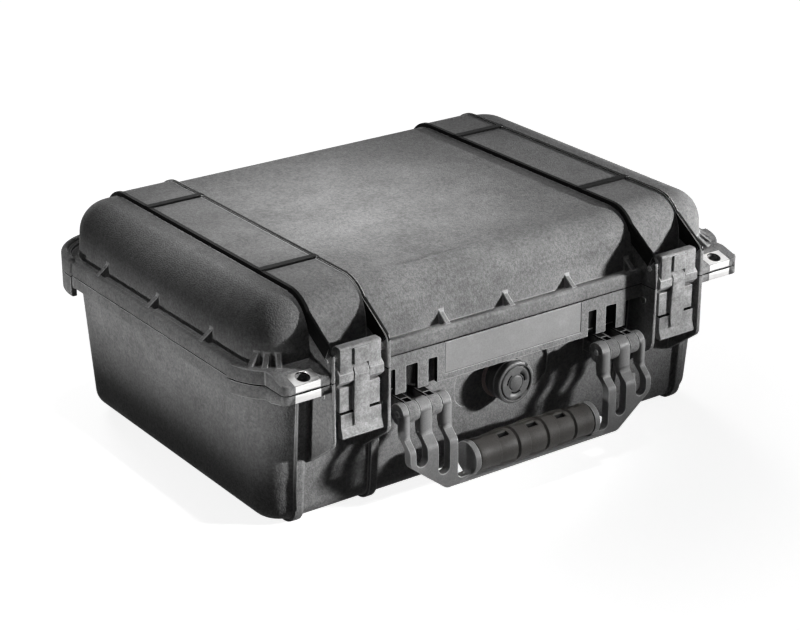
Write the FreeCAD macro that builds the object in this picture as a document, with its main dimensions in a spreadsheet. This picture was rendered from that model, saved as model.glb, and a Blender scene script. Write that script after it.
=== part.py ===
import FreeCAD, Part
import math
import os
import Sketcher

# A hinged hard case. X runs to the right, -Y to the front, +Z up.
# The case is drawn about the middle of its rim, on the plane that the feet stand on.
# Its pieces are written about the middle of its whole depth, from the grip to the hinges.

doc = FreeCAD.newDocument("hard_case")
dims = doc.addObject("Spreadsheet::Sheet", "dims")

DRIVING_SIZES = {
    # whole case
    "case_length": 470.0,
    "case_depth": 330.0,
    "parting_height": 128.0,
    "lid_rise": 55.0,
    "wall": 3.5,
    "flange_overhang": 12.0,
    "flange_corner": 45.0,
    "base_draft": 4.0,
    "lid_draft": 4.0,
    "base_edge_round": 14.0,
    "lid_edge_round": 26.0,
    "parting_gap": 0.6,
    # rim round the parting line
    "lid_flange_height": 12.0,
    "base_flange_height": 11.0,
    "flange_wall": 3.5,
    "flange_edge_round": 2.5,
    "gutter_depth": 3.0,
    "lip_width": 6.0,
    "bumper_rise": 3.0,
    "bumper_drop": 7.0,
    "bumper_swell": 2.0,
    "bumper_run": 48.0,
    "front_bumper_run": 40.0,
    # seal between tongue and groove
    "tongue_offset": 2.0,
    "tongue_width": 3.0,
    "tongue_rise": 2.2,
    "groove_clearance": 1.2,
    "seal_height": 3.4,
    "seal_clearance": 0.2,
    # foot rails, lid ribs and gussets
    "rail_rise": 2.5,
    "rail_width": 7.0,
    "inner_rail_gap": 9.7,
    "outer_rail_gap": 12.2,
    "rib_rise": 3.5,
    "band_rise": 2.4,
    "cross_bar_setback": 81.0,
    "cross_bar_width": 6.0,
    "cross_bar_proud": 0.5,
    "gusset_width": 4.4,
    "gusset_rise": 10.0,
    "front_gusset_gap": 5.4,
    "side_gusset_setback": 85.0,
    "corner_gusset_angle": 15.0,
    # latch bays
    "latch_inset": 79.4,
    "latch_bay": 46.0,
    "cheek_thickness": 3.2,
    "cheek_reach": 15.75,
    "cheek_rise": 25.0,
    "cheek_drop": 51.0,
    "cheek_slope": 24.0,
    "cheek_round": 8.0,
    "fin_run": 50.0,
    # padlock ears
    "ear_inset": 13.0,
    "ear_setback": 1.0,
    "ear_front_height": 6.8,
    "ear_round": 5.0,
    "padlock_gap": 22.9,
    "padlock_setback": 8.5,
    "padlock_bore": 11.0,
    "base_padlock_bore": 13.0,
    "plate_width": 22.0,
    "plate_thickness": 1.2,
    "plate_clearance": 0.1,
    # apron and nameplate
    "apron_drop": 32.5,
    "apron_wall": 4.0,
    "nameplate_gap": 8.0,
    "nameplate_height": 25.5,
    "nameplate_thickness": 1.2,
    "nameplate_margin": 1.0,
    "nameplate_clearance": 0.25,
    # lid hinge
    "hinge_radius": 5.5,
    "hinge_clearance": 0.7,
    "hinge_pin_diameter": 4.5,
    "hinge_knuckle_width": 11.5,
    "hinge_knuckle_gap": 0.5,
    # pins
    "latch_pin_diameter": 5.0,
    "catch_pin_diameter": 6.0,
    "handle_pin_diameter": 5.0,
    "pin_clearance": 0.05,
    # latch
    "latch_width": 36.0,
    "stem_width": 13.0,
    "latch_side_gap": 0.6,
    "latch_ear_reach": 2.0,
    "latch_ear_radius": 7.5,
    "link_pin_rise": 16.0,
    "lever_pin_rise": 2.5,
    "latch_pin_setback": 7.0,
    "lever_barrel_radius": 8.3,
    "latch_setback": 0.8,
    "latch_step": 1.6,
    "link_block_rise": 26.0,
    "link_block_foot": 11.2,
    "link_back_chamfer": 5.0,
    "link_back_depth": 6.5,
    "catch_drop": 13.0,
    "catch_setback": 12.3,
    "jaw_clearance": 0.4,
    "jaw_thickness": 3.6,
    "web_front_depth": 1.6,
    "web_thickness": 5.8,
    "tab_top_drop": 27.0,
    "tab_bottom_drop": 46.5,
    "tab_bend_height": 9.0,
    "tab_lip": 3.0,
    "latch_slit": 1.2,
    "latch_slit_depth": 2.5,
    # carrying handle
    "handle_pin_reach": 10.3,
    "handle_pin_drop": 43.0,
    "handle_knuckle_radius": 8.5,
    "knuckle_slot_width": 5.0,
    "knuckle_slot_length": 6.0,
    "knuckle_slot_depth": 3.0,
    "finger_setback": 9.6,
    "inner_finger_width": 8.0,
    "middle_finger_width": 10.4,
    "outer_finger_width": 5.6,
    "knuckle_width": 9.6,
    "finger_gap": 0.4,
    "arm_thickness": 8.0,
    "arm_jog": 9.0,
    "jog_top_drop": 61.0,
    "jog_low_drop": 69.0,
    "handle_drop": 108.0,
    "handle_chamfer_drop": 81.0,
    "handle_corner_inset": 34.0,
    "handle_notch_drop": 102.5,
    "handle_notch_round": 4.0,
    "hook_drop": 79.5,
    "hook_width": 3.2,
    "inner_slot_drop": 95.0,
    "outer_slot_drop": 83.0,
    "rail_bar_height": 3.0,
    "grip_drop": 91.8,
    "grip_setback": 3.2,
    "grip_gap": 18.0,
    "grip_radius": 14.6,
    "grip_end_radius": 13.0,
    "grip_valley": 1.0,
    "grip_core_radius": 6.0,
    "collar_width": 5.0,
    "collar_rise": 0.4,
    # pressure valve
    "valve_drop": 52.0,
    "valve_seat_depth": 2.0,
    "valve_pocket_width": 92.0,
    "valve_pocket_height": 38.6,
    "valve_pocket_round": 15.0,
    "valve_boss_thickness": 4.5,
    "valve_boss_rim": 2.0,
    "valve_gasket_thickness": 1.5,
    "valve_gasket_radius": 18.5,
    "valve_flange_radius": 16.0,
    "valve_flange_thickness": 5.0,
    "valve_stem_radius": 9.0,
    "valve_stem_length": 16.0,
    "valve_bore_radius": 5.5,
    "valve_socket_depth": 8.0,
    "valve_web_thickness": 4.0,
    "valve_vent_radius": 0.8,
    "valve_vent_offset": 3.0,
    "valve_knob_radius": 17.5,
    "valve_knob_depth": 14.0,
    "valve_knob_gap": 0.4,
    "valve_spindle_radius": 4.5,
    "valve_spindle_length": 6.0,
    "valve_groove_radius": 14.2,
    "valve_groove_width": 1.4,
    "valve_groove_depth": 1.5,
    "valve_nut_width": 26.0,
    "valve_nut_thickness": 5.0,
    "valve_membrane_thickness": 0.8,
}

for row, (alias, number) in enumerate(DRIVING_SIZES.items(), start=1):
    dims.set(f"A{row}", alias)
    dims.set(f"B{row}", str(number))
    dims.setAlias(f"B{row}", alias)
doc.recompute()

# Places and sizes that follow from the sheet, as expressions on its cells.
# CUT_MARGIN is how far a cutting solid runs past the face that it opens.
# ROOT_DEPTH is how far an added piece is sunk into what carries it.
CUT_MARGIN = "1"
ROOT_DEPTH = "2"
HINGE_KNUCKLES = 5
VALVE_VENT_ANGLES = (0, 90, 180, 270)
FLANGE_X = "(dims.case_length / 2)"
FLANGE_Y = "(dims.case_depth / 2)"
BODY_X = f"({FLANGE_X} - dims.flange_overhang)"
BODY_Y = f"({FLANGE_Y} - dims.flange_overhang)"
BODY_CORNER = "(dims.flange_corner - dims.flange_overhang)"
PARTING_Z = "dims.parting_height"
LID_Z = "(dims.parting_height + dims.parting_gap)"
LID_TOP = "(dims.parting_height + dims.lid_rise)"
LID_FLANGE_TOP = "(dims.parting_height + dims.lid_flange_height)"
BASE_FLANGE_FOOT = "(dims.parting_height - dims.base_flange_height)"
CHEEK_Y = f"({FLANGE_Y} + dims.cheek_reach)"
LATCH_X = f"({FLANGE_X} - dims.latch_inset)"
BAY_INNER = f"({LATCH_X} - dims.latch_bay / 2)"
BAY_OUTER = f"({LATCH_X} + dims.latch_bay / 2)"
CHEEK_INNER = f"({BAY_INNER} - dims.cheek_thickness)"
CHEEK_OUTER = f"({BAY_OUTER} + dims.cheek_thickness)"
INNER_RAIL = f"({BAY_INNER} - dims.inner_rail_gap)"
OUTER_RAIL = f"({BAY_OUTER} + dims.outer_rail_gap)"
PADLOCK_X = f"({BAY_OUTER} + dims.padlock_gap)"
EAR_EDGE = f"({FLANGE_X} - dims.ear_inset)"
HINGE_Y = f"({FLANGE_Y} + dims.hinge_radius + dims.hinge_clearance)"
HINGE_Z = "(dims.parting_height + dims.parting_gap / 2)"
HANDLE_PIN_Y = f"({FLANGE_Y} + dims.handle_pin_reach)"
HANDLE_PIN_Z = "(dims.parting_height - dims.handle_pin_drop)"
ARM_FRONT = f"({HANDLE_PIN_Y} + dims.handle_knuckle_radius)"
GRIP_Y = f"({ARM_FRONT} + dims.arm_jog - dims.arm_thickness / 2 - dims.grip_setback)"
FINGER_WIDTHS = ("dims.inner_finger_width", "dims.middle_finger_width", "dims.outer_finger_width")
KNUCKLE_SPAN = "(dims.knuckle_width + 2 * dims.finger_gap)"
FINGER_END = f"({CHEEK_INNER} - dims.finger_setback)"
FINGER_START = f"({FINGER_END} - {' - '.join(FINGER_WIDTHS)} - {len(FINGER_WIDTHS) - 1} * {KNUCKLE_SPAN})"
NAMEPLATE_HALF = f"({FINGER_START} - dims.nameplate_gap)"
GRIP_HALF = f"({FINGER_START} - dims.grip_gap)"
GRIP_Z = "(dims.parting_height - dims.grip_drop)"
HINGE_PITCH = "(dims.hinge_knuckle_width + dims.hinge_knuckle_gap)"
LATCH_PIN_Y = f"({CHEEK_Y} - dims.latch_pin_setback)"
LINK_PIN_Z = "(dims.parting_height + dims.link_pin_rise)"
LEVER_PIN_Z = "(dims.parting_height + dims.lever_pin_rise)"
LATCH_FRONT_Y = f"({CHEEK_Y} - dims.latch_setback)"
LATCH_HALF = "(dims.latch_width / 2)"
STEM_HALF = "(dims.stem_width / 2)"
EAR_INNER = f"({STEM_HALF} + dims.latch_side_gap)"
EAR_OUTER = f"({LATCH_HALF} + dims.latch_ear_reach)"
CATCH_Y = f"({CHEEK_Y} - dims.catch_setback)"
CATCH_Z = "(dims.parting_height - dims.catch_drop)"
VALVE_Z = "(dims.parting_height - dims.valve_drop)"
VALVE_SEAT = f"({BODY_Y} - dims.valve_drop * tan(dims.base_draft) - dims.valve_seat_depth)"
GASKET_FRONT = f"({VALVE_SEAT} + dims.valve_gasket_thickness)"
VALVE_FRONT = f"({GASKET_FRONT} + dims.valve_flange_thickness)"
BOSS_BACK = f"({VALVE_SEAT} - dims.valve_boss_thickness)"

AXIS_TURN = {
    "x": FreeCAD.Rotation(FreeCAD.Vector(0, 1, 0), 90),
    "y": FreeCAD.Rotation(FreeCAD.Vector(1, 0, 0), -90),
    "z": FreeCAD.Rotation(),
}


def place(piece, x, y, z):
    """Tie the position of a piece to three expressions."""
    for axis, position in zip("xyz", (x, y, z)):
        piece.setExpression(f"Placement.Base.{axis}", position)
    return piece


def block(name, x_range, y_range, z_range):
    """A block between pairs of positions."""
    solid = doc.addObject("Part::Box", name)
    for side, (low, high) in zip(("Length", "Width", "Height"), (x_range, y_range, z_range)):
        solid.setExpression(side, f"({high}) - ({low})")
    return place(solid, x_range[0], y_range[0], z_range[0])


def rod(name, axis, radius, start, end, first, second):
    """A cylinder along an axis between two positions; first and second place its centre line."""
    solid = doc.addObject("Part::Cylinder", name)
    solid.Placement = FreeCAD.Placement(FreeCAD.Vector(), AXIS_TURN[axis])
    solid.setExpression("Radius", radius)
    solid.setExpression("Height", f"({end}) - ({start})")
    centre = [first, second]
    centre.insert("xyz".index(axis), start)
    return place(solid, *centre)


def join(name, *solids):
    """One solid, or a group of solids, from several."""
    fusion = doc.addObject("Part::MultiFuse", name)
    fusion.Shapes = list(solids)
    fusion.Refine = True
    return fusion


def cut(name, base, *tools):
    """A solid with other solids taken away from it."""
    difference = doc.addObject("Part::Cut", name)
    difference.Base = base
    difference.Tool = tools[0] if len(tools) == 1 else join(f"{name}_tools", *tools)
    difference.Refine = True
    return difference


def overlap(name, first, second):
    """What two solids have in common."""
    common = doc.addObject("Part::Common", name)
    common.Base = first
    common.Tool = second
    return common


def mirrored(name, source):
    """The same piece on the other side of the case."""
    twin = doc.addObject("Part::Mirroring", name)
    twin.Source = source
    twin.Base = FreeCAD.Vector(0, 0, 0)
    twin.Normal = FreeCAD.Vector(1, 0, 0)
    return twin


def both_sides(name, solid):
    """A solid together with its mirror image."""
    return join(name, solid, mirrored(f"{name}_twin", solid))


def sketch_in(body, role, offset, lift="0"):
    """An empty sketch on one of a body's own planes, moved along the plane's normal."""
    sketch = body.newObject("Sketcher::SketchObject", f"{body.Name}_sketch")
    plane = next(item for item in body.Origin.OriginFeatures if item.Role == role)
    sketch.AttachmentSupport = [(plane, "")]
    sketch.MapMode = "FlatFace"
    sketch.setExpression("AttachmentOffset.Base.y", lift)
    sketch.setExpression("AttachmentOffset.Base.z", offset)
    return sketch


def bind_constraint(sketch, constraint, size):
    """Add a dimension to a sketch and tie it to an expression."""
    index = sketch.addConstraint(constraint)
    sketch.setExpression(f"Constraints[{index}]", size)


def draw_polygon(sketch, points):
    """A closed outline whose corners are pairs of expressions."""
    count = len(points)
    start_ring = [
        FreeCAD.Vector(math.cos(2 * math.pi * index / count), math.sin(2 * math.pi * index / count), 0)
        for index in range(count)
    ]
    for index in range(count):
        sketch.addGeometry(Part.LineSegment(start_ring[index], start_ring[(index + 1) % count]))
    for index, (across, upward) in enumerate(points):
        sketch.addConstraint(Sketcher.Constraint("Coincident", index, 2, (index + 1) % count, 1))
        corner = start_ring[index]
        bind_constraint(sketch, Sketcher.Constraint("DistanceX", -1, 1, index, 1, corner.x), across)
        bind_constraint(sketch, Sketcher.Constraint("DistanceY", -1, 1, index, 1, corner.y), upward)


def draw_round_rectangle(sketch, half_x, half_y, radius):
    """A rectangle about the origin with round corners."""
    side, arc = 20.0, 5.0
    inner = side - arc
    corners = ((inner, -inner), (inner, inner), (-inner, inner), (-inner, -inner))
    for index, (x, y) in enumerate(corners):
        turn = math.radians(90 * index)
        centre = FreeCAD.Vector(x, y, 0)
        circle = Part.Circle(centre, FreeCAD.Vector(0, 0, 1), arc)
        sketch.addGeometry(Part.ArcOfCircle(circle, turn - math.pi / 2, turn))
        start = centre + FreeCAD.Vector(math.cos(turn), math.sin(turn), 0) * arc
        run = FreeCAD.Vector(-math.sin(turn), math.cos(turn), 0) * (2 * inner)
        sketch.addGeometry(Part.LineSegment(start, start + run))
    for index in range(4):
        arc_id, line_id, next_arc = 2 * index, 2 * index + 1, (2 * index + 2) % 8
        sketch.addConstraint(Sketcher.Constraint("Tangent", arc_id, 2, line_id, 1))
        sketch.addConstraint(Sketcher.Constraint("Tangent", line_id, 2, next_arc, 1))
        sketch.addConstraint(Sketcher.Constraint("Vertical" if index % 2 == 0 else "Horizontal", line_id))
        if index:
            sketch.addConstraint(Sketcher.Constraint("Equal", 0, arc_id))
    bind_constraint(sketch, Sketcher.Constraint("Radius", 0, arc), radius)
    bind_constraint(sketch, Sketcher.Constraint("DistanceX", -1, 1, 1, 1, side), half_x)
    bind_constraint(sketch, Sketcher.Constraint("DistanceY", -1, 1, 3, 1, side), half_y)
    bind_constraint(sketch, Sketcher.Constraint("DistanceX", 5, 1, -1, 1, side), half_x)
    bind_constraint(sketch, Sketcher.Constraint("DistanceY", 7, 1, -1, 1, side), half_y)


def pad(body, sketch, length, taper="0", downward=False):
    """Raise a sketch to a length, drawn in or out by a taper."""
    feature = body.newObject("PartDesign::Pad", f"{body.Name}_pad")
    feature.Profile = sketch
    feature.Reversed = downward
    feature.setExpression("Length", length)
    if taper != "0":
        feature.setExpression("TaperAngle", taper)
    return feature


def round_edges(body, feature, radius, wanted):
    """Round the edges of a body's last feature that a test picks."""
    doc.recompute()
    names = [f"Edge{i}" for i, edge in enumerate(feature.Shape.Edges, start=1) if wanted(edge)]
    fillet = body.newObject("PartDesign::Fillet", f"{body.Name}_round")
    fillet.Base = (feature, names)
    fillet.setExpression("Radius", radius)
    return fillet


def at_height(feature_shape, top):
    """A test for edges that lie in a shape's top or bottom face."""
    level = feature_shape.BoundBox.ZMax if top else feature_shape.BoundBox.ZMin
    tolerance = 0.001
    return lambda edge: max(abs(edge.BoundBox.ZMin - level), abs(edge.BoundBox.ZMax - level)) < tolerance


def slab(name, half_x, half_y, radius, low, high, rounded=None, round_top=True):
    """A plate with round corners between two heights; rounded is the radius along its rim."""
    body = doc.addObject("PartDesign::Body", name)
    sketch = sketch_in(body, "XY_Plane", low)
    draw_round_rectangle(sketch, half_x, half_y, radius)
    feature = pad(body, sketch, f"({high}) - ({low})")
    if rounded:
        doc.recompute()
        round_edges(body, feature, rounded, at_height(feature.Shape, round_top))
    return body


def shell_form(name, grow, start, end, draft, edge_round):
    """The tapering form of the tub or the dome, grown outwards, from its mouth to its closed end."""
    body = doc.addObject("PartDesign::Body", name)
    sketch = sketch_in(body, "XY_Plane", start)
    draw_round_rectangle(sketch, f"{BODY_X} + {grow}", f"{BODY_Y} + {grow}", f"{BODY_CORNER} + {grow}")
    downward = name.startswith("base")
    length = f"({start}) - ({end})" if downward else f"({end}) - ({start})"
    feature = pad(body, sketch, length, f"-{draft}", downward)
    doc.recompute()
    round_edges(body, feature, edge_round, at_height(feature.Shape, not downward))
    return body


def prism(name, role, points, start, length, rounds=()):
    """A plate of an outline; rounds pairs corners of the outline with their radii."""
    body = doc.addObject("PartDesign::Body", name)
    sketch = sketch_in(body, role, start)
    draw_polygon(sketch, points)
    feature = pad(body, sketch, length)
    for corner, radius in rounds:
        doc.recompute()
        spot = sketch.Placement.multVec(sketch.Geometry[corner].StartPoint)
        normal = sketch.Placement.Rotation.multVec(FreeCAD.Vector(0, 0, 1))
        feature = round_edges(body, feature, radius, runs_across(spot, normal))
    return body


def runs_across(spot, normal):
    """A test for the straight edge that crosses a plate from a corner of its sketch."""
    tolerance = 0.001

    def wanted(edge):
        if not isinstance(edge.Curve, Part.Line):
            return False
        first, last = [vertex.Point for vertex in edge.Vertexes]
        square = (last - first).cross(normal).Length < tolerance
        return square and min(first.distanceToPoint(spot), last.distanceToPoint(spot)) < tolerance

    return wanted


def turned(name, role, points, lift="0"):
    """A round piece about the level line of a plane; its outline pairs positions with radii."""
    body = doc.addObject("PartDesign::Body", name)
    sketch = sketch_in(body, role, "0", lift)
    draw_polygon(sketch, points)
    feature = body.newObject("PartDesign::Revolution", f"{name}_turn")
    feature.Profile = sketch
    feature.ReferenceAxis = (sketch, ["H_Axis"])
    feature.Angle = 360
    return body


def base_shell():
    """The lower half: a drafted tub with its rim, foot rails, apron, cheeks, ears and knuckles."""
    tub_foot = "dims.rail_rise"
    tub = shell_form("base_tub", "0", PARTING_Z, tub_foot, "dims.base_draft", "dims.base_edge_round")
    cavity = shell_form(
        "base_cavity", "(-dims.wall)", f"({PARTING_Z} + {CUT_MARGIN})", f"({tub_foot} + dims.wall)",
        "dims.base_draft", "(dims.base_edge_round - dims.wall)",
    )
    rail_form = shell_form(
        "base_rail_form", "dims.rail_rise", BASE_FLANGE_FOOT, "0",
        "dims.base_draft", "(dims.base_edge_round + dims.rail_rise)",
    )
    rail_planes = join("rail_planes", *[
        block(
            f"rail_plane_{side}", (f"{middle} - dims.rail_width / 2", f"{middle} + dims.rail_width / 2"),
            (f"-{FLANGE_Y}", FLANGE_Y), ("0", BASE_FLANGE_FOOT),
        )
        for side, middle in (("inner", INNER_RAIL), ("outer", OUTER_RAIL))
    ])
    rails = overlap("foot_rails", rail_form, both_sides("rail_planes_all", rail_planes))
    rim = slab(
        "base_rim_slab", FLANGE_X, FLANGE_Y, "dims.flange_corner", BASE_FLANGE_FOOT, PARTING_Z,
        "dims.flange_edge_round", round_top=False,
    )
    rim_hollow = slab(
        "base_rim_hollow", f"{FLANGE_X} - dims.flange_wall", f"{FLANGE_Y} - dims.flange_wall",
        "dims.flange_corner - dims.flange_wall", f"({BASE_FLANGE_FOOT} - {CUT_MARGIN})",
        f"({PARTING_Z} - dims.flange_wall)",
    )
    tongue = rim_ring(
        "base_tongue", "dims.tongue_offset", "dims.tongue_width", f"({PARTING_Z} - {ROOT_DEPTH})",
        f"({PARTING_Z} + dims.tongue_rise)",
    )
    side_pieces = join(
        "base_side_pieces", *base_cheeks(), base_ear(), *base_handle_knuckles(),
        *hinge_knuckles("base", range(0, HINGE_KNUCKLES, 2)),
    )
    outside = join(
        "base_outside", tub, cut("base_rim", rim, rim_hollow), rails, apron(), tongue,
        both_sides("base_sides", side_pieces), corner_bumpers("base"),
    )
    boss = valve_plate("valve_boss", "dims.valve_boss_rim", BOSS_BACK, VALVE_SEAT)
    pocket = valve_plate("valve_pocket", "0", VALVE_SEAT, FLANGE_Y)
    valve_hole = rod("valve_hole", "y", "dims.valve_stem_radius + dims.pin_clearance", f"-{FLANGE_Y}",
                     f"-({BOSS_BACK} - {CUT_MARGIN})", "0", VALVE_Z)
    holes = join("base_side_holes", *base_holes())
    body = join("base_with_boss", cut("base_hollow", outside, cavity), boss)
    return cut("base_shell", body, pocket, valve_hole, nameplate_recess(), both_sides("base_holes", holes))


def valve_plate(name, grow, back, front):
    """The round-cornered form of the valve's pocket, grown outwards, between two depths."""
    body = doc.addObject("PartDesign::Body", name)
    sketch = sketch_in(body, "XZ_Plane", back, VALVE_Z)
    draw_round_rectangle(
        sketch, f"dims.valve_pocket_width / 2 + {grow}", f"dims.valve_pocket_height / 2 + {grow}",
        f"dims.valve_pocket_round + {grow}",
    )
    pad(body, sketch, f"({front}) - ({back})")
    return body


def rim_ring(name, offset, width, low, high):
    """A ring on the rim, set off outwards from the side walls."""
    outer = f"{offset} + {width}"
    ring = slab(
        f"{name}_outer", f"{BODY_X} + {outer}", f"{BODY_Y} + {outer}", f"{BODY_CORNER} + {outer}",
        low, high,
    )
    hole = slab(
        f"{name}_inner", f"{BODY_X} + {offset}", f"{BODY_Y} + {offset}", f"{BODY_CORNER} + {offset}",
        f"({low}) - {CUT_MARGIN}", f"({high}) + {CUT_MARGIN}",
    )
    return cut(name, ring, hole)


def corner_bumpers(half):
    """Thicker rounds at the corners of the rim: tall ones at the back, level ones at the front."""
    low, high = {
        "base": (f"({BASE_FLANGE_FOOT} - dims.bumper_drop)", PARTING_Z),
        "lid": (LID_Z, f"({LID_FLANGE_TOP} + dims.bumper_rise)"),
    }[half]
    swell = "dims.bumper_swell"
    form = slab(
        f"{half}_bumper_form", f"{FLANGE_X} + {swell}", f"{FLANGE_Y} + {swell}",
        f"dims.flange_corner + {swell}", low, high, "dims.flange_edge_round", round_top=half == "lid",
    )
    core = slab(
        f"{half}_bumper_core", f"{FLANGE_X} - dims.flange_wall", f"{FLANGE_Y} - dims.flange_wall",
        "dims.flange_corner - dims.flange_wall", low, high,
    )
    back = block(
        f"{half}_bumper_back",
        (f"{FLANGE_X} - dims.bumper_run", f"{FLANGE_X} + {swell}"),
        (f"{FLANGE_Y} - dims.bumper_run", f"{FLANGE_Y} + {swell}"),
        (low, high),
    )
    front = block(
        f"{half}_bumper_front",
        (f"{EAR_EDGE} - {ROOT_DEPTH}", f"{FLANGE_X} + {swell}"),
        (f"-({FLANGE_Y} + {swell})", f"-({FLANGE_Y} - dims.front_bumper_run)"),
        {"base": (BASE_FLANGE_FOOT, PARTING_Z), "lid": (LID_Z, LID_FLANGE_TOP)}[half],
    )
    corners = join(f"{half}_bumper_pair", back, front)
    skin = cut(f"{half}_bumper_skin", form, core)
    return overlap(f"{half}_bumpers", skin, both_sides(f"{half}_bumper_corners", corners))


def cheek_pair(name, points, rounds):
    """The two thin cheeks of a latch bay, from one outline."""
    starts = (("inner", CHEEK_INNER), ("outer", BAY_OUTER))
    return [
        prism(f"{name}_{side}", "YZ_Plane", points, start, "dims.cheek_thickness", rounds)
        for side, start in starts
    ]


def base_cheeks():
    """Cheeks below the parting line, sloping back to the wall at their feet."""
    corner_z = f"({PARTING_Z} - dims.cheek_drop)"
    foot_z = f"({PARTING_Z} - dims.cheek_drop - dims.cheek_slope)"
    root_y = f"-({BODY_Y} - dims.flange_overhang)"
    points = [
        (f"-{CHEEK_Y}", PARTING_Z),
        (f"-{CHEEK_Y}", corner_z),
        (f"-({BODY_Y} - dims.wall)", foot_z),
        (root_y, foot_z),
        (root_y, PARTING_Z),
    ]
    return cheek_pair("base_cheek", points, [(1, "dims.cheek_round")])


def lid_cheeks():
    """Cheeks above the parting line, running back as fins to the ribs across the lid."""
    top_z = f"({LID_TOP} + dims.rib_rise)"
    bend_y = f"-({CHEEK_Y} - dims.fin_run)"
    root_y = f"-({CHEEK_Y} - dims.fin_run - dims.lid_edge_round)"
    points = [
        (f"-{CHEEK_Y}", LID_Z),
        (f"-{CHEEK_Y}", f"({PARTING_Z} + dims.cheek_rise)"),
        (bend_y, top_z),
        (root_y, top_z),
        (root_y, LID_Z),
    ]
    return cheek_pair("lid_cheek", points, [(1, "dims.cheek_round"), (2, "dims.lid_edge_round")])


def ear_points(rest_z, front_z, root_z):
    """The side view of a padlock ear, sloping from its front edge to the rim."""
    front_y = f"-({CHEEK_Y} - dims.ear_setback)"
    root_y = f"-({FLANGE_Y} - dims.flange_wall)"
    back_y = f"-({FLANGE_Y} - dims.flange_overhang)"
    return [(front_y, rest_z), (front_y, front_z), (root_y, root_z), (back_y, root_z), (back_y, rest_z)]


def ear_solid(name, points):
    """A padlock ear from its side view, with its outer front corner rounded."""
    body = prism(name, "YZ_Plane", points, BAY_OUTER, f"{EAR_EDGE} - {BAY_OUTER}")
    doc.recompute()
    limits = body.Shape.BoundBox
    tolerance = 0.001

    def outer_front(edge):
        box = edge.BoundBox
        upright = box.XLength < tolerance and box.YLength < tolerance
        at_corner = limits.XMax - box.XMin < tolerance and box.YMin - limits.YMin < tolerance
        return upright and at_corner

    round_edges(body, body.Tip, "dims.ear_round", outer_front)
    return body


def base_ear():
    """The lower half of a padlock ear."""
    front_z = f"({PARTING_Z} - dims.ear_front_height)"
    return ear_solid("base_ear", ear_points(PARTING_Z, front_z, BASE_FLANGE_FOOT))


def lid_ear():
    """The upper half of a padlock ear."""
    front_z = f"({PARTING_Z} + dims.ear_front_height)"
    return ear_solid("lid_ear", ear_points(LID_Z, front_z, LID_FLANGE_TOP))


def finger_x(index):
    """Where a finger of the handle starts, counted outwards."""
    inner_fingers = "".join(f" + {width} + {KNUCKLE_SPAN}" for width in FINGER_WIDTHS[:index])
    return f"({FINGER_START}{inner_fingers})"


def finger_end(index):
    """Where a finger of the handle ends."""
    return f"({finger_x(index)} + {FINGER_WIDTHS[index]})"


def knuckle_x(index):
    """Where a knuckle beside a finger starts."""
    return f"({finger_end(index)} + dims.finger_gap)"


def base_handle_knuckles():
    """The two knuckles that carry one arm of the handle, on brackets from the wall."""
    radius = "dims.handle_knuckle_radius"
    wall_y = f"-({BODY_Y} - dims.flange_overhang)"
    solids = []
    for index in range(len(FINGER_WIDTHS) - 1):
        start = knuckle_x(index)
        end = f"({start} + dims.knuckle_width)"
        solids.append(rod(
            f"handle_knuckle_{index}", "x", radius, start, end, f"-{HANDLE_PIN_Y}", HANDLE_PIN_Z,
        ))
        solids.append(block(
            f"handle_bracket_{index}", (start, end), (f"-{HANDLE_PIN_Y}", wall_y),
            (f"{HANDLE_PIN_Z} - {radius}", f"{HANDLE_PIN_Z} + {radius}"),
        ))
    return solids


def knuckle_slots():
    """A small slot in the top of each knuckle of one arm of the handle."""
    top_z = f"({HANDLE_PIN_Z} + dims.handle_knuckle_radius)"
    half = "dims.knuckle_slot_width / 2"
    slots = []
    for index in range(len(FINGER_WIDTHS) - 1):
        middle = f"({knuckle_x(index)} + dims.knuckle_width / 2)"
        slots.append(block(
            f"knuckle_slot_{index}", (f"{middle} - {half}", f"{middle} + {half}"),
            (f"-{HANDLE_PIN_Y}", f"-({HANDLE_PIN_Y} - dims.knuckle_slot_length)"),
            (f"{top_z} - dims.knuckle_slot_depth", f"{top_z} + {CUT_MARGIN}"),
        ))
    return slots


def apron():
    """The skirt between the inner cheeks, slotted where the fingers of the handle turn."""
    foot_z = f"({PARTING_Z} - dims.apron_drop)"
    back_y = f"-({FLANGE_Y} - dims.apron_wall)"
    plate = block(
        "apron_plate", (f"-{CHEEK_INNER}", CHEEK_INNER), (f"-{FLANGE_Y}", back_y), (foot_z, PARTING_Z),
    )
    ends = [finger_end(0), finger_end(1), CHEEK_INNER]
    slots = join("apron_slots_right", *[
        block(
            f"apron_slot_{index}", (finger_x(index), end),
            (f"-{FLANGE_Y} - {CUT_MARGIN}", f"{back_y} + {CUT_MARGIN}"),
            (f"{foot_z} - {CUT_MARGIN}", BASE_FLANGE_FOOT),
        )
        for index, end in enumerate(ends)
    ])
    return cut("apron", plate, both_sides("apron_slots", slots))


def nameplate_recess():
    """The shallow recess in the apron that the blank nameplate lies in."""
    grown = f"{NAMEPLATE_HALF} + dims.nameplate_clearance"
    top_z = f"({PARTING_Z} - dims.nameplate_margin)"
    return block(
        "nameplate_recess", (f"-({grown})", grown),
        (f"-{FLANGE_Y} - {CUT_MARGIN}", f"-({FLANGE_Y} - dims.nameplate_thickness)"),
        (f"{top_z} - dims.nameplate_height - 2 * dims.nameplate_clearance", top_z),
    )


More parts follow.
